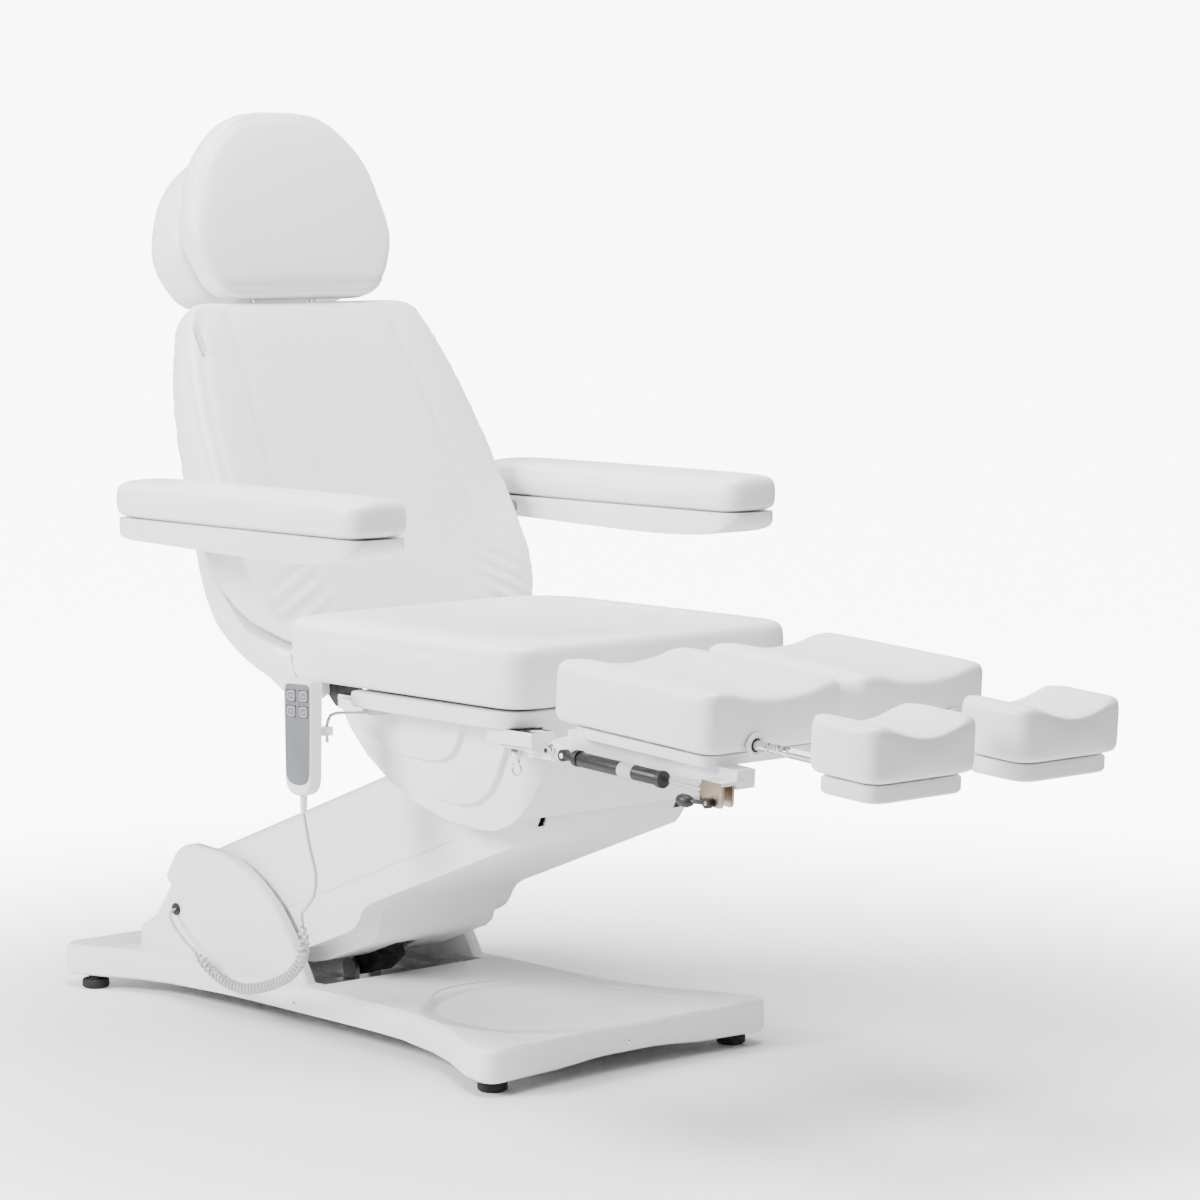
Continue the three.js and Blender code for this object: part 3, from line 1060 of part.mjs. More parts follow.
// The handset faces -Y in its own frame.
const faceY = -HANDSET.thick / 2;
const bodyHalf = HANDSET.width / 2;
const bodyTop = HANDSET.height / 2;
const handsetShape = outline([
  [-bodyHalf + 3, -bodyTop], [bodyHalf - 3, -bodyTop], [bodyHalf, bodyTop], [-bodyHalf, bodyTop],
], [26, 26, 12, 12]);
const HOOK_PLACE = [27.5, 18.7]; // the wire hook's upright end, in the handset's frame
const clip = block(HOOK_PLACE[0] - 10, HOOK_PLACE[0] + 6, -faceY - 1, -faceY + 12.5, 2, 14)
  .subtract(bar(3.3, [...HOOK_PLACE, -5], [...HOOK_PLACE, 20], 10));
const panelShape = (inset) => outline([
  [-bodyHalf + 8 + inset, -bodyTop + 16 + inset], [bodyHalf - 8 - inset, -bodyTop + 16 + inset],
  [bodyHalf - 6 - inset, bodyTop - 8 - inset], [-bodyHalf + 6 + inset, bodyTop - 8 - inset],
], [18, 18, 8, 8]);
const buttonPlaces = [["back_up", -11, 58], ["back_down", 11, 58], ["seat_up", -11, 36], ["seat_down", 11, 36]];
const BUTTON_HALF = 8;
const roomHalf = BUTTON_HALF + GAP;
const buttonRoom = join(...buttonPlaces.map(([, x, z]) =>
  block(x - roomHalf, x + roomHalf, faceY - 2, faceY + 5, z - roomHalf, z + roomHalf)));
put("handset_shell", plate("y", handsetShape, faceY, -faceY, 4)
  .add(clip)
  .subtract(plate("y", panelShape(-GAP), faceY - 2, faceY + 2 + GAP))
  .subtract(buttonRoom), shell, handsetGroup);
put("handset_panel", plate("y", panelShape(0), faceY, faceY + 2).subtract(buttonRoom), greyPanel, handsetGroup);
buttonPlaces.forEach(([name, x, z]) => {
  const shape = outline([
    [x - BUTTON_HALF, z - BUTTON_HALF], [x + BUTTON_HALF, z - BUTTON_HALF],
    [x + BUTTON_HALF, z + BUTTON_HALF], [x - BUTTON_HALF, z + BUTTON_HALF],
  ], 3);
  put(`button_${name}`, plate("y", shape, faceY - 0.8, faceY + 3, 0, 2), greyPanel, handsetGroup);
});

// The wire hook: from under the tray's edge, down behind the handset and up under its clip.
const turned = (x, y) => [
  HANDSET.x + x * Math.cos(rad(HANDSET.turn)) - y * Math.sin(rad(HANDSET.turn)),
  HANDSET.y + x * Math.sin(rad(HANDSET.turn)) + y * Math.cos(rad(HANDSET.turn)),
];
const [hookX, hookY] = turned(...HOOK_PLACE);
const hookZ = trayBottom - 5;
const hook = cord([
  [hookX + 34, -TRAY_HALF + 26, hookZ], [hookX + 30, -TRAY_HALF, hookZ], [hookX + 14, -TRAY_HALF - 20, hookZ],
  [hookX + 3, hookY + 5, hookZ - 3], [hookX, hookY, hookZ - 16], [hookX, hookY, HANDSET.z - 8],
], 2.5, 6, 14).add(block(hookX + 20, hookX + 52, -TRAY_HALF + 10, -TRAY_HALF + 34, hookZ - 3, trayBottom - GAP));
put("handset_hook", hook, steel);

const reliefTop = HANDSET.z - bodyTop - GAP;
const reliefBottom = reliefTop - 26;
put("strain_relief", bar(3.4, [HANDSET.x, HANDSET.y, reliefBottom], [HANDSET.x, HANDSET.y, reliefTop], 12, 5.5), shell);

const grommetY = -cheekOuter - 3;
put("cable_grommet", alongY(GROMMET, HOLE_X, HOLE_Z, -cheekOuter - 3, -cheekOuter + WALL - 0.5)
  .add(alongY(GROMMET + 2.5, HOLE_X, HOLE_Z, -cheekOuter - 3, -cheekOuter - GAP))
  .subtract(alongY(CORD_RADIUS + 1, HOLE_X, HOLE_Z, -cheekOuter - 6, -cheekOuter + WALL + 2, 10)), black);

// The cord leaves the handset, hangs, runs as a curly length, and goes into the near cheek.
const coilTop = [-206, -285, 196];
const coilEnd = [-575, -206, 88];
put("cord_upper", cord([
  [HANDSET.x, HANDSET.y, reliefBottom - GAP], [HANDSET.x + 1, HANDSET.y + 1, 345], [-151, -312, 304],
  [-147, -306, 270], [-163, -297, 236], [coilTop[0] + 10, coilTop[1] - 5, coilTop[2] + 12],
], CORD_RADIUS, 6, 16), shell);
put("cord_coil", cord([
  coilTop, [-210, -280, 167], [-219, -274, 141], [-259, -262, 108], [-324, -246, 80], [-406, -230, 58],
  [-468, -218, 54], [-521, -208, 62], coilEnd,
], COIL_RADIUS, 8, 22), shell);
put("cord_lower", cord([
  [coilEnd[0] - 8, coilEnd[1], coilEnd[2] + 9], [-604, -204, 106], [-640, -202, 124],
  [HOLE_X + 2, grommetY - 16, HOLE_Z - 4], [HOLE_X, grommetY - 1, HOLE_Z],
], CORD_RADIUS, 6, 12), shell);

export default chair;
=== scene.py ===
import bpy
import bmesh
import json
import math
import numpy as np
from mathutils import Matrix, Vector
from mathutils.bvhtree import BVHTree
from mathutils.kdtree import KDTree


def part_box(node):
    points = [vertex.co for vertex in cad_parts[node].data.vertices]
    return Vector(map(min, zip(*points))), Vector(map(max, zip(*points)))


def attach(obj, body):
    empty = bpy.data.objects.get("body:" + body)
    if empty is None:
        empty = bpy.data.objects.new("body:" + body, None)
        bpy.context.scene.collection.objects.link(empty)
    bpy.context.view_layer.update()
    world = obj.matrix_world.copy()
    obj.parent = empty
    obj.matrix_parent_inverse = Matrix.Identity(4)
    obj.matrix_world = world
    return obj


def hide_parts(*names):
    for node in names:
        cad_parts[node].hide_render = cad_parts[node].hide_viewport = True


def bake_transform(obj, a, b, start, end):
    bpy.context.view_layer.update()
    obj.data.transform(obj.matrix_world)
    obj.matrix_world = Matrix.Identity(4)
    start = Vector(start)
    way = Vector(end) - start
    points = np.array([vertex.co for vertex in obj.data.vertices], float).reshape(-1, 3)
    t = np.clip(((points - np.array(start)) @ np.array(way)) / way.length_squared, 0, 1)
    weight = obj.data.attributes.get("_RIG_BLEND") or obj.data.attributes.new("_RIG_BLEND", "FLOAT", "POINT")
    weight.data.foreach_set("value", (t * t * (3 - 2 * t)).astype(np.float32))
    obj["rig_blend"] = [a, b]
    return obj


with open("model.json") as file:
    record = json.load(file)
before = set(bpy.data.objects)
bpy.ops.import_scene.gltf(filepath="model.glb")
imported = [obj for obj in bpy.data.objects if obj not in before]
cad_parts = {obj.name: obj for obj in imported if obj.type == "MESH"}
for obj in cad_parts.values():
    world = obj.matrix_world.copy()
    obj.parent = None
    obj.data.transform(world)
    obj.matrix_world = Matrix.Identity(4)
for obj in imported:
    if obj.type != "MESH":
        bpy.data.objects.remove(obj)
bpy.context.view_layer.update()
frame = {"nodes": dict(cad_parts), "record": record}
bpy.ops.object.select_all(action="DESELECT")

# ---- Camera and room
# The chair stands on a pale floor in a bright white room. Large soft lights hang above, in front and at the
# sides.
camera_data = bpy.data.cameras.new("camera")
camera_data.lens = 116.75
camera_data.sensor_width = 36
camera = bpy.data.objects.new("camera", camera_data)
bpy.context.collection.objects.link(camera)
camera.location = (4.083, -3.578, 1.2)
camera.rotation_euler = (math.radians(90 - 5.868), 0, math.radians(48.045))
bpy.context.scene.camera = camera


def soft_light(name, place, target, size, power):
    data = bpy.data.lights.new(name, "AREA")
    data.shape = "SQUARE"
    data.size = size
    data.energy = power
    lamp = bpy.data.objects.new(name, data)
    lamp.location = place
    lamp.rotation_euler = (Vector(target) - Vector(place)).to_track_quat("-Z", "Y").to_euler()
    bpy.context.collection.objects.link(lamp)


soft_light("top_light", (0.2, -0.2, 3.4), (-0.1, 0, 0.4), 1.6, 200)
soft_light("key_light", (-1.2, -3.2, 2.2), (-0.2, 0, 0.6), 1.2, 240)
soft_light("front_light", (3.6, -0.4, 1.6), (0, 0, 0.6), 1.6, 5)
soft_light("far_light", (-1.6, 2.8, 1.8), (-0.2, 0, 0.6), 2.0, 26)
room_light = 0.32  # what the room gives the chair
seen_white = 9  # what the camera sees of the room and the far floor
world = bpy.data.worlds.new("room")
world.use_nodes = True
world_tree = world.node_tree
background = world_tree.nodes["Background"]
background.inputs["Color"].default_value = (1, 1, 1, 1)
rays = world_tree.nodes.new("ShaderNodeLightPath")
glow = world_tree.nodes.new("ShaderNodeMapRange")
glow.inputs["To Min"].default_value = room_light
glow.inputs["To Max"].default_value = seen_white
world_tree.links.new(rays.outputs["Is Camera Ray"], glow.inputs["Value"])
world_tree.links.new(glow.outputs["Result"], background.inputs["Strength"])
bpy.context.scene.world = world
bpy.ops.mesh.primitive_plane_add(size=40, location=(0, 0, -0.0005))
floor = bpy.context.object
floor.name = "floor"
floor_paint = bpy.data.materials.new("floor_paint")
floor_paint.use_nodes = True
floor_tree = floor_paint.node_tree
floor_shader = floor_tree.nodes["Principled BSDF"]
floor_shader.inputs["Base Color"].default_value = (0.97, 0.97, 0.97, 1)
floor_shader.inputs["Roughness"].default_value = 0.6
spread = floor_tree.nodes.new("ShaderNodeVectorMath")
spread.operation = "LENGTH"
floor_tree.links.new(floor_tree.nodes.new("ShaderNodeTexCoord").outputs["Object"], spread.inputs[0])
brighten = floor_tree.nodes.new("ShaderNodeMapRange")
brighten.interpolation_type = "SMOOTHSTEP"
brighten.inputs["From Min"].default_value = 0.6
brighten.inputs["From Max"].default_value = 2.6
brighten.inputs["To Max"].default_value = seen_white
floor_tree.links.new(spread.outputs["Value"], brighten.inputs["Value"])
seen = floor_tree.nodes.new("ShaderNodeMath")
seen.operation = "MULTIPLY"
floor_tree.links.new(brighten.outputs["Result"], seen.inputs[0])
floor_rays = floor_tree.nodes.new("ShaderNodeLightPath")
floor_tree.links.new(floor_rays.outputs["Is Camera Ray"], seen.inputs[1])
floor_shader.inputs["Emission Color"].default_value = (1, 1, 1, 1)
floor_tree.links.new(seen.outputs["Value"], floor_shader.inputs["Emission Strength"])
floor.data.materials.append(floor_paint)

# ---- Handset cord
# A white PVC cord 4.4 mm thick, coloured mid grey as painted shade between its coil's turns. It hangs straight from
# the handset, turns into a curly length that loops under the arm, and ends in a straight length pushed through the
# grommet in the near cheek.
body_of = {node: body for body, nodes in frame["record"]["behaviour"]["bodies"].items() for node in nodes}


def surface(name, color, roughness, metallic=0.0, grain=0.0, grain_scale=400.0, mottle=0.03, wave=0.0,
            wave_scale=9.0):
    """A painted, moulded, metal or leather finish: slow colour change, uneven gloss, grain and waviness."""
    made = bpy.data.materials.new(name)
    made.use_nodes = True
    tree = made.node_tree
    shader = tree.nodes["Principled BSDF"]
    shader.inputs["Metallic"].default_value = metallic
    shader.inputs["Coat Weight"].default_value = 0
    shader.inputs["Specular IOR Level"].default_value = 0.5
    place = tree.nodes.new("ShaderNodeTexCoord").outputs["Object"]
    slow = tree.nodes.new("ShaderNodeTexNoise")
    slow.inputs["Scale"].default_value = 5
    slow.inputs["Detail"].default_value = 5
    tree.links.new(place, slow.inputs["Vector"])
    tint = tree.nodes.new("ShaderNodeValToRGB")
    tint.color_ramp.elements[0].position = 0.3
    tint.color_ramp.elements[1].position = 0.7
    tint.color_ramp.elements[0].color = [c * (1 - mottle) for c in color] + [1]
    tint.color_ramp.elements[1].color = [min(1, c * (1 + mottle * 0.3)) for c in color] + [1]
    tree.links.new(slow.outputs["Fac"], tint.inputs["Fac"])
    tree.links.new(tint.outputs["Color"], shader.inputs["Base Color"])
    smear = tree.nodes.new("ShaderNodeTexNoise")
    smear.inputs["Scale"].default_value = 40
    smear.inputs["Detail"].default_value = 4
    tree.links.new(place, smear.inputs["Vector"])
    gloss = tree.nodes.new("ShaderNodeMapRange")
    gloss.inputs["To Min"].default_value = max(0.03, roughness - 0.06)
    gloss.inputs["To Max"].default_value = min(1, roughness + 0.06)
    tree.links.new(smear.outputs["Fac"], gloss.inputs["Value"])
    tree.links.new(gloss.outputs["Result"], shader.inputs["Roughness"])
    if grain:
        cells = tree.nodes.new("ShaderNodeTexVoronoi")
        cells.inputs["Scale"].default_value = grain_scale
        tree.links.new(place, cells.inputs["Vector"])
        fine = tree.nodes.new("ShaderNodeBump")
        fine.inputs["Strength"].default_value = grain
        fine.inputs["Distance"].default_value = 0.0006
        tree.links.new(cells.outputs["Distance"], fine.inputs["Height"])
        last = fine
        if wave:
            folds = tree.nodes.new("ShaderNodeTexNoise")
            folds.inputs["Scale"].default_value = wave_scale
            folds.inputs["Detail"].default_value = 3
            tree.links.new(place, folds.inputs["Vector"])
            broad = tree.nodes.new("ShaderNodeBump")
            broad.inputs["Strength"].default_value = wave
            broad.inputs["Distance"].default_value = 0.01
            tree.links.new(folds.outputs["Fac"], broad.inputs["Height"])
            tree.links.new(fine.outputs["Normal"], broad.inputs["Normal"])
            last = broad
        tree.links.new(last.outputs["Normal"], shader.inputs["Normal"])
    return made


def select_only(piece):
    bpy.ops.object.select_all(action="DESELECT")
    bpy.context.view_layer.objects.active = piece
    piece.select_set(True)


def smooth_path(points, count):
    """Points evenly spaced along a smooth curve through the given ones."""
    p = np.array(points, float)
    p = np.vstack([2 * p[0] - p[1], p, 2 * p[-1] - p[-2]])
    out = []
    for i in range(1, len(p) - 2):
        for t in np.linspace(0, 1, 40, endpoint=False):
            a, b, c, d = p[i - 1], p[i], p[i + 1], p[i + 2]
            out.append(0.5 * (2 * b + (c - a) * t + (2 * a - 5 * b + 4 * c - d) * t * t
                              + (3 * b - a - 3 * c + d) * t ** 3))
    out.append(p[-2])
    out = np.array(out)
    along = np.concatenate([[0], np.cumsum(np.linalg.norm(np.diff(out, axis=0), axis=1))])
    where = np.linspace(0, along[-1], count)
    return np.column_stack([np.interp(where, along, out[:, k]) for k in range(3)])


def tube(name, points, radius, sides=3, cyclic=False):
    """A round tube along points, as a mesh."""
    data = bpy.data.curves.new(name, "CURVE")
    data.dimensions = "3D"
    data.bevel_depth = radius
    data.bevel_resolution = sides
    data.use_fill_caps = True
    line = data.splines.new("POLY")
    line.points.add(len(points) - 1)
    for spot, point in zip(line.points, points):
        spot.co = (*point, 1)
    line.use_cyclic_u = cyclic
    piece = bpy.data.objects.new(name, data)
    bpy.context.collection.objects.link(piece)
    select_only(piece)
    bpy.ops.object.convert(target="MESH")
    bpy.ops.object.shade_smooth()
    return bpy.context.object


# The cord's colour is mid grey, far darker than white PVC: painted shade for the gaps between the coil's turns.
cord_painted_shade = surface("cord_painted_shade", (0.52, 0.52, 0.51), 0.42, grain=0.05, grain_scale=900)
hole = (-0.666, -0.172, 0.133)
wire_radius = 0.0022
coil_turns = 41
coil_steps = 14  # points in one turn
coil_ends = 40  # points over which the coil opens out at each end
coil_reach = 0.0062
loop_spots = [(-0.206, -0.285, 0.196), (-0.210, -0.280, 0.167), (-0.219, -0.274, 0.141),
              (-0.259, -0.262, 0.108), (-0.324, -0.246, 0.080), (-0.406, -0.230, 0.058),
              (-0.468, -0.218, 0.054), (-0.521, -0.208, 0.062), (-0.575, -0.206, 0.088)]
loop_line = smooth_path(loop_spots[::-1], coil_turns * coil_steps + 1)
tangents = np.gradient(loop_line, axis=0)
tangents /= np.linalg.norm(tangents, axis=1)[:, None]
across = np.cross(tangents[0], (0, 0, 1.0))
helix = []
for i, (centre, along) in enumerate(zip(loop_line, tangents)):
    across = across - along * across.dot(along)
    across /= np.linalg.norm(across)
    other = np.cross(along, across)
    turn = 2 * math.pi * i / coil_steps
    inside = min(1, i / coil_ends, (len(loop_line) - 1 - i) / coil_ends)
    reach = coil_reach * inside * inside * (3 - 2 * inside)
    helix.append(centre + reach * (across * math.cos(turn) + other * math.sin(turn)))
lead_in = smooth_path([hole, (-0.662, -0.184, 0.130), (-0.645, -0.194, 0.119), (-0.604, -0.204, 0.101),
                       helix[0] - tangents[0] * 0.012, helix[0]], 30)
curly_path = np.vstack([lead_in[:-1], helix])
curly = tube("curly_cord", curly_path, wire_radius)
curly.data.materials.append(cord_painted_shade)
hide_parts("cord_lower", "cord_coil")
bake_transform(curly, "base", "lift_arm", start=(-0.64, -0.2, 0.12), end=(-0.25, -0.27, 0.12))
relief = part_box("strain_relief")
handset_x, handset_y = -0.157, -0.318
upper_path = smooth_path([(handset_x, handset_y, relief[0][2] - 0.0004), (-0.156, -0.317, 0.345),
                          (-0.151, -0.312, 0.304), (-0.147, -0.306, 0.270), (-0.163, -0.297, 0.236),
                          (-0.192, -0.290, 0.212),
                          helix[-1] + tangents[-1] * 0.008, helix[-1]], 46)[::-1]
straight = tube("handset_cord", upper_path, wire_radius)
straight.data.materials.append(cord_painted_shade)
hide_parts("cord_upper")
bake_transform(straight, "lift_arm", "seat", start=(-0.206, -0.285, 0.196), end=(-0.157, -0.318, 0.34))

# ---- Moulded base
# Two vacuum-formed ABS covers, white and slightly grained, screwed over a welded frame. The rear one carries the
# upright cheeks, the front one is a long tread with a shallow foot well.
white_abs = surface("white_abs", (0.90, 0.90, 0.905), 0.34, grain=0.10, grain_scale=520)
tread_abs = surface("tread_abs", (0.90, 0.90, 0.905), 0.42, grain=0.35, grain_scale=260)


def copy_of(node, name):
    """A merged copy of a CAD solid, with its flat faces joined up, lying where the solid lies."""
    source = frame["nodes"][node]
    piece = bpy.data.objects.new(name, source.data.copy())
    bpy.context.collection.objects.link(piece)
    select_only(piece)
    piece.data.materials.clear()
    bpy.ops.object.mode_set(mode="EDIT")
    bpy.ops.mesh.select_all(action="SELECT")
    bpy.ops.mesh.remove_doubles(threshold=0.00001)
    bpy.ops.mesh.dissolve_limited(angle_limit=math.radians(0.4))
    bpy.ops.object.mode_set(mode="OBJECT")
    shading = ("custom_normal", "sharp_edge", "sharp_face")
    for stale in [a.name for a in piece.data.attributes if a.name in shading]:
        piece.data.attributes.remove(piece.data.attributes[stale])
    return piece


def moulded(node, finish, radius=0.0015, angle=34, segments=3):
    """The solid as it comes from its tool: every sharp edge rounded, curved walls smooth."""
    piece = copy_of(node, node + "_skin")
    rounding = piece.modifiers.new("rounding", "BEVEL")
    rounding.width = radius
    rounding.segments = segments
    rounding.limit_method = "ANGLE"
    rounding.angle_limit = math.radians(angle)
    bpy.ops.object.modifier_apply(modifier="rounding")
    bpy.ops.object.shade_smooth_by_angle(angle=math.radians(36))
    piece.data.materials.append(finish)
    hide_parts(node)
    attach(piece, body_of[node])
    return piece


tree = tread_abs.node_tree
where = tree.nodes.new("ShaderNodeTexCoord").outputs["Object"]
placed = tree.nodes.new("ShaderNodeMapping")
placed.vector_type = "TEXTURE"
placed.inputs["Location"].default_value = (0.0, 0.0, 0.064)
placed.inputs["Scale"].default_value = (0.175, 0.2, 0.4)
tree.links.new(where, placed.inputs["Vector"])
reach_of = tree.nodes.new("ShaderNodeVectorMath")
reach_of.operation = "LENGTH"
tree.links.new(placed.outputs["Vector"], reach_of.inputs[0])
well = tree.nodes.new("ShaderNodeMapRange")
well.interpolation_type = "SMOOTHSTEP"
well.inputs["From Min"].default_value = 0.84
well.inputs["From Max"].default_value = 1.0
tree.links.new(reach_of.outputs["Value"], well.inputs["Value"])
sunk = tree.nodes.new("ShaderNodeBump")
sunk.inputs["Strength"].default_value = 0.7
sunk.inputs["Distance"].default_value = 0.012
tree.links.new(well.outputs["Result"], sunk.inputs["Height"])
shader = tree.nodes["Principled BSDF"]
tree.links.new(shader.inputs["Normal"].links[0].from_socket, sunk.inputs["Normal"])
tree.links.new(sunk.outputs["Normal"], shader.inputs["Normal"])
moulded("rear_base_cover", white_abs, 0.0018)
moulded("front_base_cover", tread_abs, 0.0018)

# ---- Frame, feet and drive
# Zinc-plated welded steel, black actuators with chromed rods, and turned rubber feet on threaded studs.
zinc = surface("zinc_plate", (0.56, 0.57, 0.58), 0.38, metallic=1, grain=0.06, grain_scale=300, mottle=0.12)
black_paint = surface("black_paint", (0.007, 0.007, 0.008), 0.40, grain=0.08, grain_scale=500, mottle=0.1)
black_plastic = surface("black_plastic", (0.008, 0.008, 0.009), 0.45, grain=0.12, grain_scale=700, mottle=0.1)
polished = surface("polished_chrome", (0.78, 0.79, 0.8), 0.12, metallic=1, grain=0.02, grain_scale=900, mottle=0.05)
white_coat = surface("white_powder_coat", (0.88, 0.88, 0.88), 0.4, grain=0.14, grain_scale=800)
foot_rubber = surface("foot_rubber", (0.007, 0.007, 0.007), 0.75, grain=0.2, grain_scale=500, mottle=0.15)
for name, spot, out in (("near", (-0.358, -0.1838, 0.039), (0, -1, 0)),
                        ("far", (-0.358, 0.1838, 0.039), (0, 1, 0)),
                        ("front", (0.1632, -0.001, 0.041), (1, 0, 0))):
    spot, out = Vector(spot), Vector(out)
    for part, reach, radius, finish in (("head", 0.0012, 0.0036, polished),
                                        ("slot", 0.0015, 0.0013, black_plastic)):
        screw = tube(f"base_screw_{part}_{name}", [spot - out * 0.003, spot + out * reach], radius, sides=5)
        screw.data.materials.append(finish)
        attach(screw, "base")
for node in ("base_frame", "lift_arm_frame", "levelling_link", "back_frame", "handset_hook"):
    moulded(node, zinc, 0.0008, segments=2)
carrier = moulded("seat_bracket", black_paint, 0.001, segments=2)
carrier.data.materials.append(white_coat)
for face in carrier.data.polygons:
    face.material_index = 1 if abs(face.center.y) > 0.135 and face.center.x > -0.19 else 0
for node in ("control_box", "cable_grommet", "lift_actuator_body", "back_actuator_body"):
    moulded(node, black_plastic, 0.0008, segments=2)
for node in ("lift_actuator_rod", "back_actuator_rod", "headrest_bar"):
    moulded(node, polished, 0.0005, segments=2)
for place in ("rear_right", "rear_left", "front_right", "front_left"):
    moulded("levelling_foot_" + place, foot_rubber, 0.0012, segments=2)

# ---- Arm and seat mouldings
# Thick white ABS covers: the arm's two channels, the skirt with its raised crescents, the tray, the back's shell
# and the armrests' shells. The strain relief has the same finish.
for node in ("arm_cover_top", "arm_cover_bottom", "seat_tray", "back_shell", "strain_relief"):
    moulded(node, white_abs, 0.002)
moulded("seat_undercover", white_abs, 0.0035, segments=4)
for side in ("right", "left"):
    moulded("armrest_shell_" + side, white_abs, 0.004, segments=4)

# ---- Cushions
# Polyurethane foam under white synthetic leather, cut in panels and sewn. The foam pushes the cloth out between its
# seams; the seams pull it in and leave a fine groove beside a row of stitches.
leather = surface("white_leather", (0.925, 0.925, 0.92), 0.40, grain=0.16, grain_scale=620, mottle=0.02, wave=0.10,
                  wave_scale=14)
thread = surface("sewing_thread", (0.84, 0.84, 0.83), 0.6, grain=0.1, grain_scale=1500)
cloth_frames = 10


def coordinates(piece):
    flat = np.empty(len(piece.data.vertices) * 3)
    piece.data.vertices.foreach_get("co", flat)
    return flat.reshape(-1, 3)


def normals(piece):
    flat = np.empty(len(piece.data.vertices) * 3)
    piece.data.vertices.foreach_get("normal", flat)
    return flat.reshape(-1, 3)


def place_points(piece, points):
    piece.data.vertices.foreach_set("co", np.asarray(points, float).ravel())
    piece.data.update()


def apply_modifier(piece, kind, **values):
    select_only(piece)
    made = piece.modifiers.new("step", kind)
    for key, value in values.items():
        setattr(made, key, value)
    bpy.ops.object.modifier_apply(modifier="step")


def stuffed(node, name, voxel=0.006, cap=0.010, pressure=4.0, rounding=6, shrink=0.0):
    """Foam in a cloth skin: the solid is remeshed, its edges eased, and the skin blown out against the cap."""
    piece = copy_of(node, name)
    apply_modifier(piece, "REMESH", mode="VOXEL", voxel_size=voxel)
    apply_modifier(piece, "SMOOTH", factor=0.5, iterations=rounding)
    start = coordinates(piece)
    if shrink:
        start = start - normals(piece) * shrink
        place_points(piece, start)
    cloth = piece.modifiers.new("cloth", "CLOTH")
    cloth.settings.use_pressure = True
    cloth.settings.uniform_pressure_force = pressure
    cloth.settings.effector_weights.gravity = 0
    cloth.settings.quality = 3
    cloth.settings.tension_stiffness = 20
    cloth.point_cache.frame_start = 1
    cloth.point_cache.frame_end = cloth_frames
    for step in range(1, cloth_frames + 1):
        bpy.context.scene.frame_set(step)
    select_only(piece)
    bpy.ops.object.modifier_apply(modifier="cloth")
    bpy.context.scene.frame_set(1)
    swollen = coordinates(piece)
    place_points(piece, start)
    out = normals(piece)
    lift = np.clip(((swollen - start) * out).sum(axis=1), 0, None)
    place_points(piece, start + out * (0.5 * cap * np.tanh(lift / cap))[:, None])
    apply_modifier(piece, "SMOOTH", factor=0.5, iterations=8)
    return piece


def finish_pad(piece, node):
    select_only(piece)
    bpy.ops.object.shade_smooth()
    piece.data.materials.append(leather)
    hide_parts(node)
    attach(piece, body_of[node])


def seam(piece, name, points, toward, body, depth=0.0022, width=0.0045, stitch=True, side=0.004):
    """A sewn seam across a cushion: a groove pulled in along it and a row of stitches beside it."""
    line = smooth_path(points, 160)
    points_now = coordinates(piece)
    faces = [tuple(p.vertices) for p in piece.data.polygons]
    skin = BVHTree.FromPolygons([Vector(p) for p in points_now], faces)
    toward = Vector(toward).normalized()
    landed, facing = [], []
    for spot in line:
        hit, normal, _, _ = skin.ray_cast(Vector(spot) - toward * 0.15, toward)
        if hit is not None:
            landed.append(hit)
            facing.append(normal)
    if len(landed) < 8:
        return
    tree = KDTree(len(landed))
    for i, spot in enumerate(landed):
        tree.insert(spot, i)
    tree.balance()
    inward = normals(piece)
    for i, point in enumerate(points_now):
        _, _, gap = tree.find(point)
        if gap < width * 2.6:
            points_now[i] -= inward[i] * depth * math.exp(-((gap / width) ** 2))
    place_points(piece, points_now)
    if not stitch:
        return
    spots = np.array([list(p) for p in landed])
    steps = np.concatenate([[0], np.cumsum(np.linalg.norm(np.diff(spots, axis=0), axis=1))])
    build = bmesh.new()
    along = 0.004
    while along < steps[-1] - 0.006:
        ends = [np.array([np.interp(along + d, steps, spots[:, k]) for k in range(3)]) for d in (0, 0.0032)]
        nearest = int(np.argmin(np.abs(steps - along)))
        normal = facing[nearest]
        run = Vector(ends[1] - ends[0]).normalized()
        shift = run.cross(normal) * side
        middle = Vector((ends[0] + ends[1]) / 2) + shift
        hit, hit_normal, _, _ = skin.find_nearest(middle)
        made = bmesh.ops.create_icosphere(build, subdivisions=1, radius=0.5)["verts"]
        turn = run.to_track_quat("X", "Z").to_matrix()
        for v in made:
            v.co = turn @ Vector((v.co.x * 0.0034, v.co.y * 0.0009, v.co.z * 0.0008)) + hit + hit_normal * 0.0001
        along += 0.0048
    data = bpy.data.meshes.new(name)
    build.to_mesh(data)
    build.free()
    row = bpy.data.objects.new(name, data)
    bpy.context.collection.objects.link(row)
    data.materials.append(thread)
    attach(row, body)


def ease(value, low, high):
    t = np.clip((value - low) / (high - low), 0, 1)
    return t * t * (3 - 2 * t)


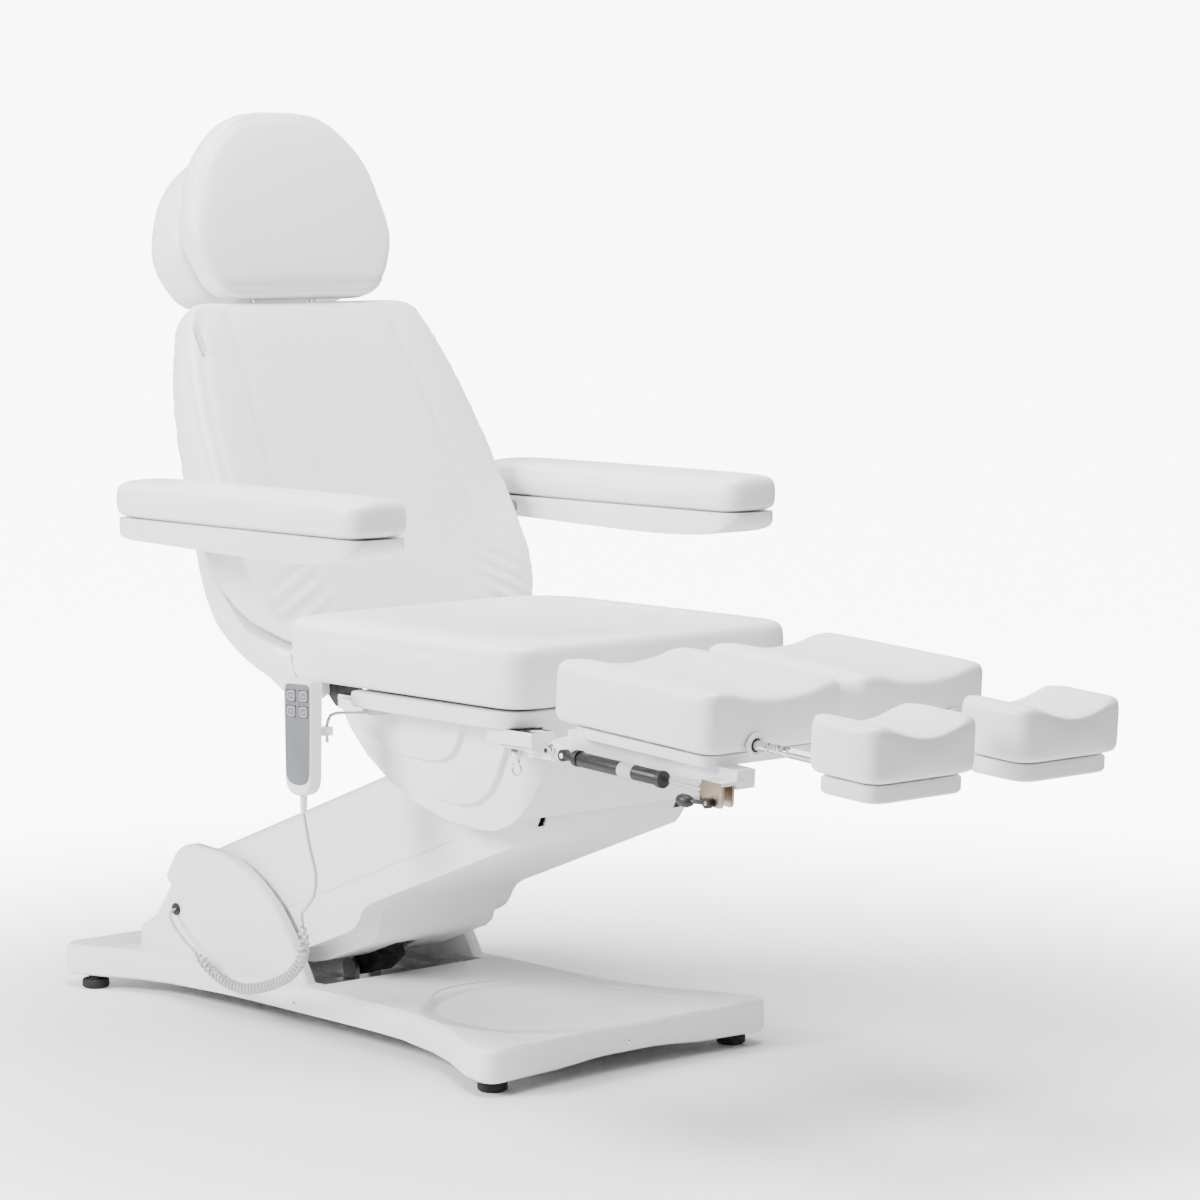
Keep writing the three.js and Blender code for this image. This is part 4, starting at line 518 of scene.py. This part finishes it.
# ---- Seat cushion
# A wide pad with a dished middle and softly raised sides. A seam runs along each side below the top edge, and two
# run lengthwise on top.
seat = stuffed("seat_cushion", "seat_pad", 0.0055, cap=0.010, rounding=10, shrink=0.004)
p = coordinates(seat)
low, high = [Vector(c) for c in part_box("seat_cushion")]
rise = ease(p[:, 2], low.z + 0.045, high.z - 0.005)
half = high.y
dish = np.clip(1 - (p[:, 1] / (half * 0.78)) ** 2, 0, 1)
lengthwise = np.clip(1 - ((p[:, 0] + 0.03) / 0.24) ** 2, 0, 1)
p[:, 2] -= rise * (0.016 * dish * lengthwise)
place_points(seat, p)
seat_edge = high.z - 0.024
for s in (-1, 1):
    seam(seat, "seat_side_seam_" + ("right" if s < 0 else "left"),
         [(-0.24, s * 0.30, seat_edge), (0.0, s * 0.30, seat_edge), (0.19, s * 0.30, seat_edge)],
         (0, -s, 0), "seat", side=0.004)
    seam(seat, "seat_top_seam_" + ("right" if s < 0 else "left"),
         [(-0.22, s * 0.185, high.z), (0.0, s * 0.19, high.z), (0.20, s * 0.185, high.z)], (0, 0, -1), "seat")
finish_pad(seat, "seat_cushion")

# ---- Back cushion
# A tall crowned pad over the back's frame, boxed at the sides. Two long seams run up it, closer together at the top,
# and the cloth gathers at the lower corners.
back = stuffed("back_cushion", "back_pad", 0.006, cap=0.014, rounding=10, shrink=0.005)
back_lean = 29.5
lean = math.radians(back_lean)
hinge = np.array([-0.296, 0, 0.535])
up_back = np.array([-math.sin(lean), 0, math.cos(lean)])
out_back = np.array([math.cos(lean), 0, math.sin(lean)])
p = coordinates(back)
height = (p - hinge) @ up_back
depth = (p - hinge) @ out_back
front = ease(depth, 0.0, 0.022)
crown = np.clip(1 - (p[:, 1] / 0.27) ** 2, 0, 1) * np.clip(1 - ((height - 0.31) / 0.33) ** 2, 0, 1)
hollow = np.exp(-((p[:, 1] / 0.12) ** 2)) * np.clip(1 - ((height - 0.32) / 0.30) ** 2, 0, 1)
low_corner = np.exp(-(((np.abs(p[:, 1]) - 0.185) / 0.045) ** 2)) * np.exp(-(((height - 0.10) / 0.07) ** 2))
gather = low_corner * np.sin(height * 230 + np.abs(p[:, 1]) * 120) * 0.0022
p += np.outer(front * (0.010 * crown - 0.007 * hollow) + gather * front, out_back)
p += np.outer(ease(height, 0.53, 0.59) * 0.006, up_back)
place_points(back, p)


def on_back(y, h, out=0.03):
    return hinge + np.array([0, y, 0]) + up_back * h + out_back * out


for s in (-1, 1):
    seam(back, "back_seam_" + ("right" if s < 0 else "left"),
         [on_back(s * 0.172, 0.05), on_back(s * 0.176, 0.22), on_back(s * 0.165, 0.38), on_back(s * 0.150, 0.56)],
         -out_back, "back", depth=0.0026, side=-s * 0.004)
    edge = [on_back(s * 0.30, 0.10, 0.004), on_back(s * 0.30, 0.25, 0.004), on_back(s * 0.30, 0.38, 0.004),
            on_back(s * 0.30, 0.48, 0.004)]
    seam(back, "back_edge_seam_" + ("right" if s < 0 else "left"), edge, (0, -s, 0), "back", depth=0.002)
    seam(back, "back_border_seam_" + ("right" if s < 0 else "left"),
         [on_back(s * 0.238, 0.09), on_back(s * 0.252, 0.22), on_back(s * 0.244, 0.36), on_back(s * 0.222, 0.48),
          on_back(s * 0.196, 0.555)], -out_back, "back", depth=0.0020, width=0.0035, side=s * 0.0035)
finish_pad(back, "back_cushion")
label = bpy.data.meshes.new("back_label")
corners = [on_back(-0.2185 + a * 0.0035, 0.495 + b * 0.05, 0.026 + a * 0.0055)
           for a, b in ((0, 0), (1, 0), (1, 1), (0, 1))]
shift = (out_back * 0.5 + np.array([0, -1, 0])) * 0.0012
label.from_pydata([list(c + shift * k) for k in (0, 1.4) for c in corners], [],
                  [(3, 2, 1, 0), (4, 5, 6, 7), (0, 1, 5, 4), (1, 2, 6, 5), (2, 3, 7, 6), (3, 0, 4, 7)])
tag = bpy.data.objects.new("back_label", label)
bpy.context.collection.objects.link(tag)
label.materials.append(surface("label_cloth", (0.62, 0.62, 0.61), 0.7, grain=0.3, grain_scale=1500, mottle=0.3))
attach(tag, "back")

# ---- Headrest
# A D-shaped pillow sewn to a thicker core behind it. A boxing band joins at the bottom, and a groove runs between.
pillow = stuffed("headrest_pillow", "headrest_pillow_pad", 0.005, cap=0.012, rounding=10, shrink=0.004)
core = stuffed("headrest_core", "headrest_core_pad", 0.005, cap=0.010, rounding=10, shrink=0.004)
tip = math.radians(back_lean - 15.5)
head_up = np.array([-math.sin(tip), 0, math.cos(tip)])
head_out = np.array([math.cos(tip), 0, math.sin(tip)])
head_root = hinge + up_back * 0.6 + out_back * -0.018
p = coordinates(pillow)
height = (p - head_root) @ head_up
depth = (p - head_root) @ head_out
front = ease(depth, 0.02, 0.055)
crown = np.clip(1 - (p[:, 1] / 0.19) ** 2, 0, 1) * np.clip(1 - ((height - 0.13) / 0.16) ** 2, 0, 1)
p += np.outer(front * 0.008 * crown, head_out)
p -= np.outer((1 - ease(height, 0.0, 0.05)) * 0.007, head_up)
place_points(pillow, p)
q = coordinates(core)
q -= np.outer((1 - ease((q - head_root) @ head_up, 0.0, 0.05)) * 0.006, head_up)
place_points(core, q)
border = [(0.0, 0.013), (0.10, 0.013), (0.150, 0.020), (0.180, 0.060), (0.181, 0.105), (0.166, 0.160),
          (0.140, 0.208), (0.095, 0.252), (0.045, 0.268)]
border += [(0.0, 0.270)] + [(-y, h) for y, h in border[:0:-1]] + [border[0]]
seam(pillow, "headrest_border_seam",
     [head_root + np.array([0, y, 0]) + head_up * h + head_out * 0.05 for y, h in border],
     -head_out, "head", depth=0.0024, width=0.004, side=-0.0035)
seam(pillow, "headrest_join_seam",
     [head_root + np.array([0, 0.012 - 0.006 * k, 0]) + head_out * (0.012 + 0.009 * k) for k in range(5)],
     head_up, "head", depth=0.0016, width=0.003, stitch=False)
finish_pad(pillow, "headrest_pillow")
finish_pad(core, "headrest_core")

# ---- Armrest pads
# A long foam pad with rounded ends on a moulded shell, with a seam along each long side.
for side in ("right", "left"):
    node = "armrest_pad_" + side
    pad = stuffed(node, "armrest_cushion_" + side, 0.005, cap=0.006, rounding=6, shrink=0.0012)
    low, high = [Vector(c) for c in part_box(node)]
    p = coordinates(pad)
    rise = ease(p[:, 2], low.z + 0.02, high.z)
    middle = (low.y + high.y) / 2
    p[:, 2] += rise * 0.004 * np.clip(1 - ((p[:, 1] - middle) / 0.056) ** 2, 0, 1)
    place_points(pad, p)
    for face, way in ((low.y, 1), (high.y, -1)):
        seam(pad, f"armrest_seam_{side}_{'near' if way > 0 else 'far'}",
             [(low.x + 0.05, face - way * 0.01, high.z - 0.014),
              ((low.x + high.x) / 2, face - way * 0.01, high.z - 0.014),
              (high.x - 0.05, face - way * 0.01, high.z - 0.014)],
             (0, way, 0), body_of[node], depth=0.0014, side=0.003)
    finish_pad(pad, node)

# ---- Leg pads
# Each leg lies in a shallow trough between a raised inner and outer side, with a seam along the foot of each side.
leg_axis_x, leg_axis_z = 0.26, 0.479
leg_fall = math.radians(3.5)
for side, s in (("right", -1), ("left", 1)):
    node = "leg_pad_" + side
    pad = stuffed(node, "leg_cushion_" + side, 0.005, cap=0.009, rounding=8, shrink=0.004)
    low, high = [Vector(c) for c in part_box(node)]
    p = coordinates(pad)
    middle = (low.y + high.y) / 2
    slope = math.tan(leg_fall)
    top = leg_axis_z + 0.129 - (p[:, 0] - leg_axis_x) * slope
    rise = ease(p[:, 2], top - 0.05, top)
    across_pad = (p[:, 1] - middle) / 0.127
    p[:, 2] -= rise * 0.010 * np.clip(1 - (across_pad / 0.62) ** 2, 0, 1)
    p[:, 2] += rise * 0.003 * np.exp(-(((np.abs(across_pad) - 0.8) / 0.2) ** 2))
    place_points(pad, p)
    for offset in (-0.076, 0.076):
        seam(pad, f"leg_seam_{side}_{'inner' if offset * s < 0 else 'outer'}",
             [(low.x + 0.03, middle + offset, high.z), ((low.x + high.x) / 2, middle + offset, high.z),
              (high.x - 0.02, middle + offset, high.z)],
             (0, 0, -1), body_of[node], side=0.004 if offset > 0 else -0.004)
    finish_pad(pad, node)

# ---- Footrests
# A saddle of foam with two lobes on a powder-coated tray, split by one seam. The tray's rod slides in the leg pad,
# through a white ring round the pad's front hole.
yellow_zinc = surface("yellow_zinc", (0.44, 0.36, 0.27), 0.34, metallic=1, grain=0.08, grain_scale=300, mottle=0.35)
label_paper = surface("label_paper", (0.72, 0.72, 0.72), 0.5, grain=0.1, grain_scale=900, mottle=0.25)
rod_y = 0.1820
rod_height = 0.058


def on_leg(x, y, z):
    """A place given from the leg's tilt axis, along the leg and square to it."""
    along, up = math.cos(leg_fall), math.sin(leg_fall)
    return (leg_axis_x + x * along + z * up, y, leg_axis_z - x * up + z * along)


for side, s in (("right", -1), ("left", 1)):
    node = "footrest_pad_" + side
    pad = stuffed(node, "footrest_cushion_" + side, 0.005, cap=0.008, rounding=8, shrink=0.003)
    low, high = [Vector(c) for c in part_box(node)]
    middle = (low.y + high.y) / 2
    seam(pad, "footrest_seam_" + side,
         [(low.x + 0.015, middle, high.z), ((low.x + high.x) / 2, middle, high.z), (high.x - 0.01, middle, high.z)],
         (0, 0, -1), body_of[node], depth=0.002)
    finish_pad(pad, node)
    tray = moulded("footrest_tray_" + side, white_coat, 0.0012)
    tray.data.materials.append(polished)
    for face in tray.data.polygons:
        x, y, z = face.center
        axis_z = on_leg((x - leg_axis_x) / math.cos(leg_fall), 0, rod_height)[2]
        if x < 0.722 and math.hypot(y - s * rod_y, z - axis_z) < 0.009:
            face.material_index = 1
    beam = moulded("leg_beam_" + side, white_coat, 0.0012)
    beam.data.materials.append(yellow_zinc)
    for face in beam.data.polygons:
        x, y, z = face.center
        if abs(y) > 0.2235 and z < leg_axis_z + 0.012 - (x - leg_axis_x) * 0.0611 and x > 0.55:
            face.material_index = 1
    moulded("swivel_bracket_" + side, white_coat, 0.0012)
    for name, reach, radius, finish in (("washer", 0.2335, 0.0086, polished), ("head", 0.2375, 0.0072, polished),
                                        ("socket", 0.2379, 0.0034, black_plastic)):
        bolt = tube(f"tilt_bolt_{name}_{side}",
                    [(leg_axis_x, s * 0.2275, leg_axis_z), (leg_axis_x, s * reach, leg_axis_z)], radius, sides=6)
        bolt.data.materials.append(finish)
        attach(bolt, body_of["swivel_bracket_" + side])
    for name, start, end, radius, finish in (("label", 0.150, 0.176, 0.01035, label_paper),
                                             ("collar", 0.222, 0.2295, 0.0115, black_plastic),
                                             ("cap", 0.062, 0.070, 0.0112, black_plastic)):
        band = tube(f"gas_spring_{name}_{side}",
                    [on_leg(start, s * 0.238, 0.0005), on_leg(end, s * 0.238, 0.0008)], radius, sides=6)
        band.data.materials.append(finish)
        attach(band, body_of["gas_spring_cylinder_" + side])
    rim = [on_leg(0.3362, rod_y * s + 0.0125 * math.cos(t), rod_height + 0.0125 * math.sin(t))
           for t in np.linspace(0, 2 * math.pi, 41)[:-1]]
    bush = tube("rod_bush_" + side, rim, 0.0034, sides=4, cyclic=True)
    bush.data.materials.append(white_abs)
    # A black disc set in the pad's front hole round the rod: painted shade inside the hole.
    hole_shade = tube("rod_hole_shade_" + side,
                [on_leg(0.332, rod_y * s, rod_height), on_leg(0.3366, rod_y * s, rod_height)], 0.0115, sides=6)
    hole_shade.data.materials.append(black_plastic)
    for piece, slot in ((bush, "white_shell"), (hole_shade, "black_plastic")):
        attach(piece, body_of["leg_pad_" + side])
    moulded("lock_plunger_" + side, polished, 0.0005)
    moulded("gas_spring_cylinder_" + side, black_paint, 0.001)
    moulded("gas_spring_rod_" + side, polished, 0.0006)
    moulded("release_lever_" + side, black_plastic, 0.0006)

# ---- Handset
# A white shell with a grey panel, four soft keys and ribs round the strain relief. Outlines and arrows on the keys
# are raised.
key_grey = surface("key_grey", (0.16, 0.165, 0.18), 0.45, grain=0.08, grain_scale=900)
moulded("handset_shell", white_abs, 0.0015)
moulded("handset_panel", key_grey, 0.0004, segments=2)
key_print = surface("key_print", (0.85, 0.85, 0.85), 0.5, grain=0.05, grain_scale=900)
handset_turn = math.radians(12)
sideways = np.array([math.cos(handset_turn), math.sin(handset_turn), 0])
outwards = np.array([math.sin(handset_turn), -math.cos(handset_turn), 0])
for key, x, z in (("back_up", -0.011, 0.058), ("back_down", 0.011, 0.058), ("seat_up", -0.011, 0.036),
                  ("seat_down", 0.011, 0.036)):
    moulded("button_" + key, key_grey, 0.0006, segments=2)
    middle = np.array([handset_x, handset_y, 0.462 + z]) + sideways * x + outwards * 0.0129
    turns = np.linspace(0, 2 * math.pi, 33)[:-1]
    square = [middle + sideways * 0.0058 * np.sign(math.cos(t)) * abs(math.cos(t)) ** 0.5
              + np.array([0, 0, 0.0058 * np.sign(math.sin(t)) * abs(math.sin(t)) ** 0.5]) for t in turns]
    up = 1 if key.endswith("up") else -1
    arrow = [middle + sideways * a + np.array([0, 0, up * b])
             for a, b in ((-0.0026, -0.0012), (0, 0.0022), (0.0026, -0.0012))]
    for name, points, closed in (("outline", square, True), ("arrow", arrow, False)):
        mark = tube(f"key_{name}_{key}", points, 0.00032, sides=2, cyclic=closed)
        mark.data.materials.append(key_print)
        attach(mark, body_of["button_" + key])
for k in range(4):
    z = relief[0][2] + 0.005 + k * 0.0045
    rib = tube(f"relief_rib_{k}",
               [(handset_x + 0.0046 * math.cos(t), handset_y + 0.0046 * math.sin(t), z)
                for t in np.linspace(0, 2 * math.pi, 25)[:-1]], 0.0009, sides=3, cyclic=True)
    rib.data.materials.append(white_abs)
    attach(rib, body_of["strain_relief"])
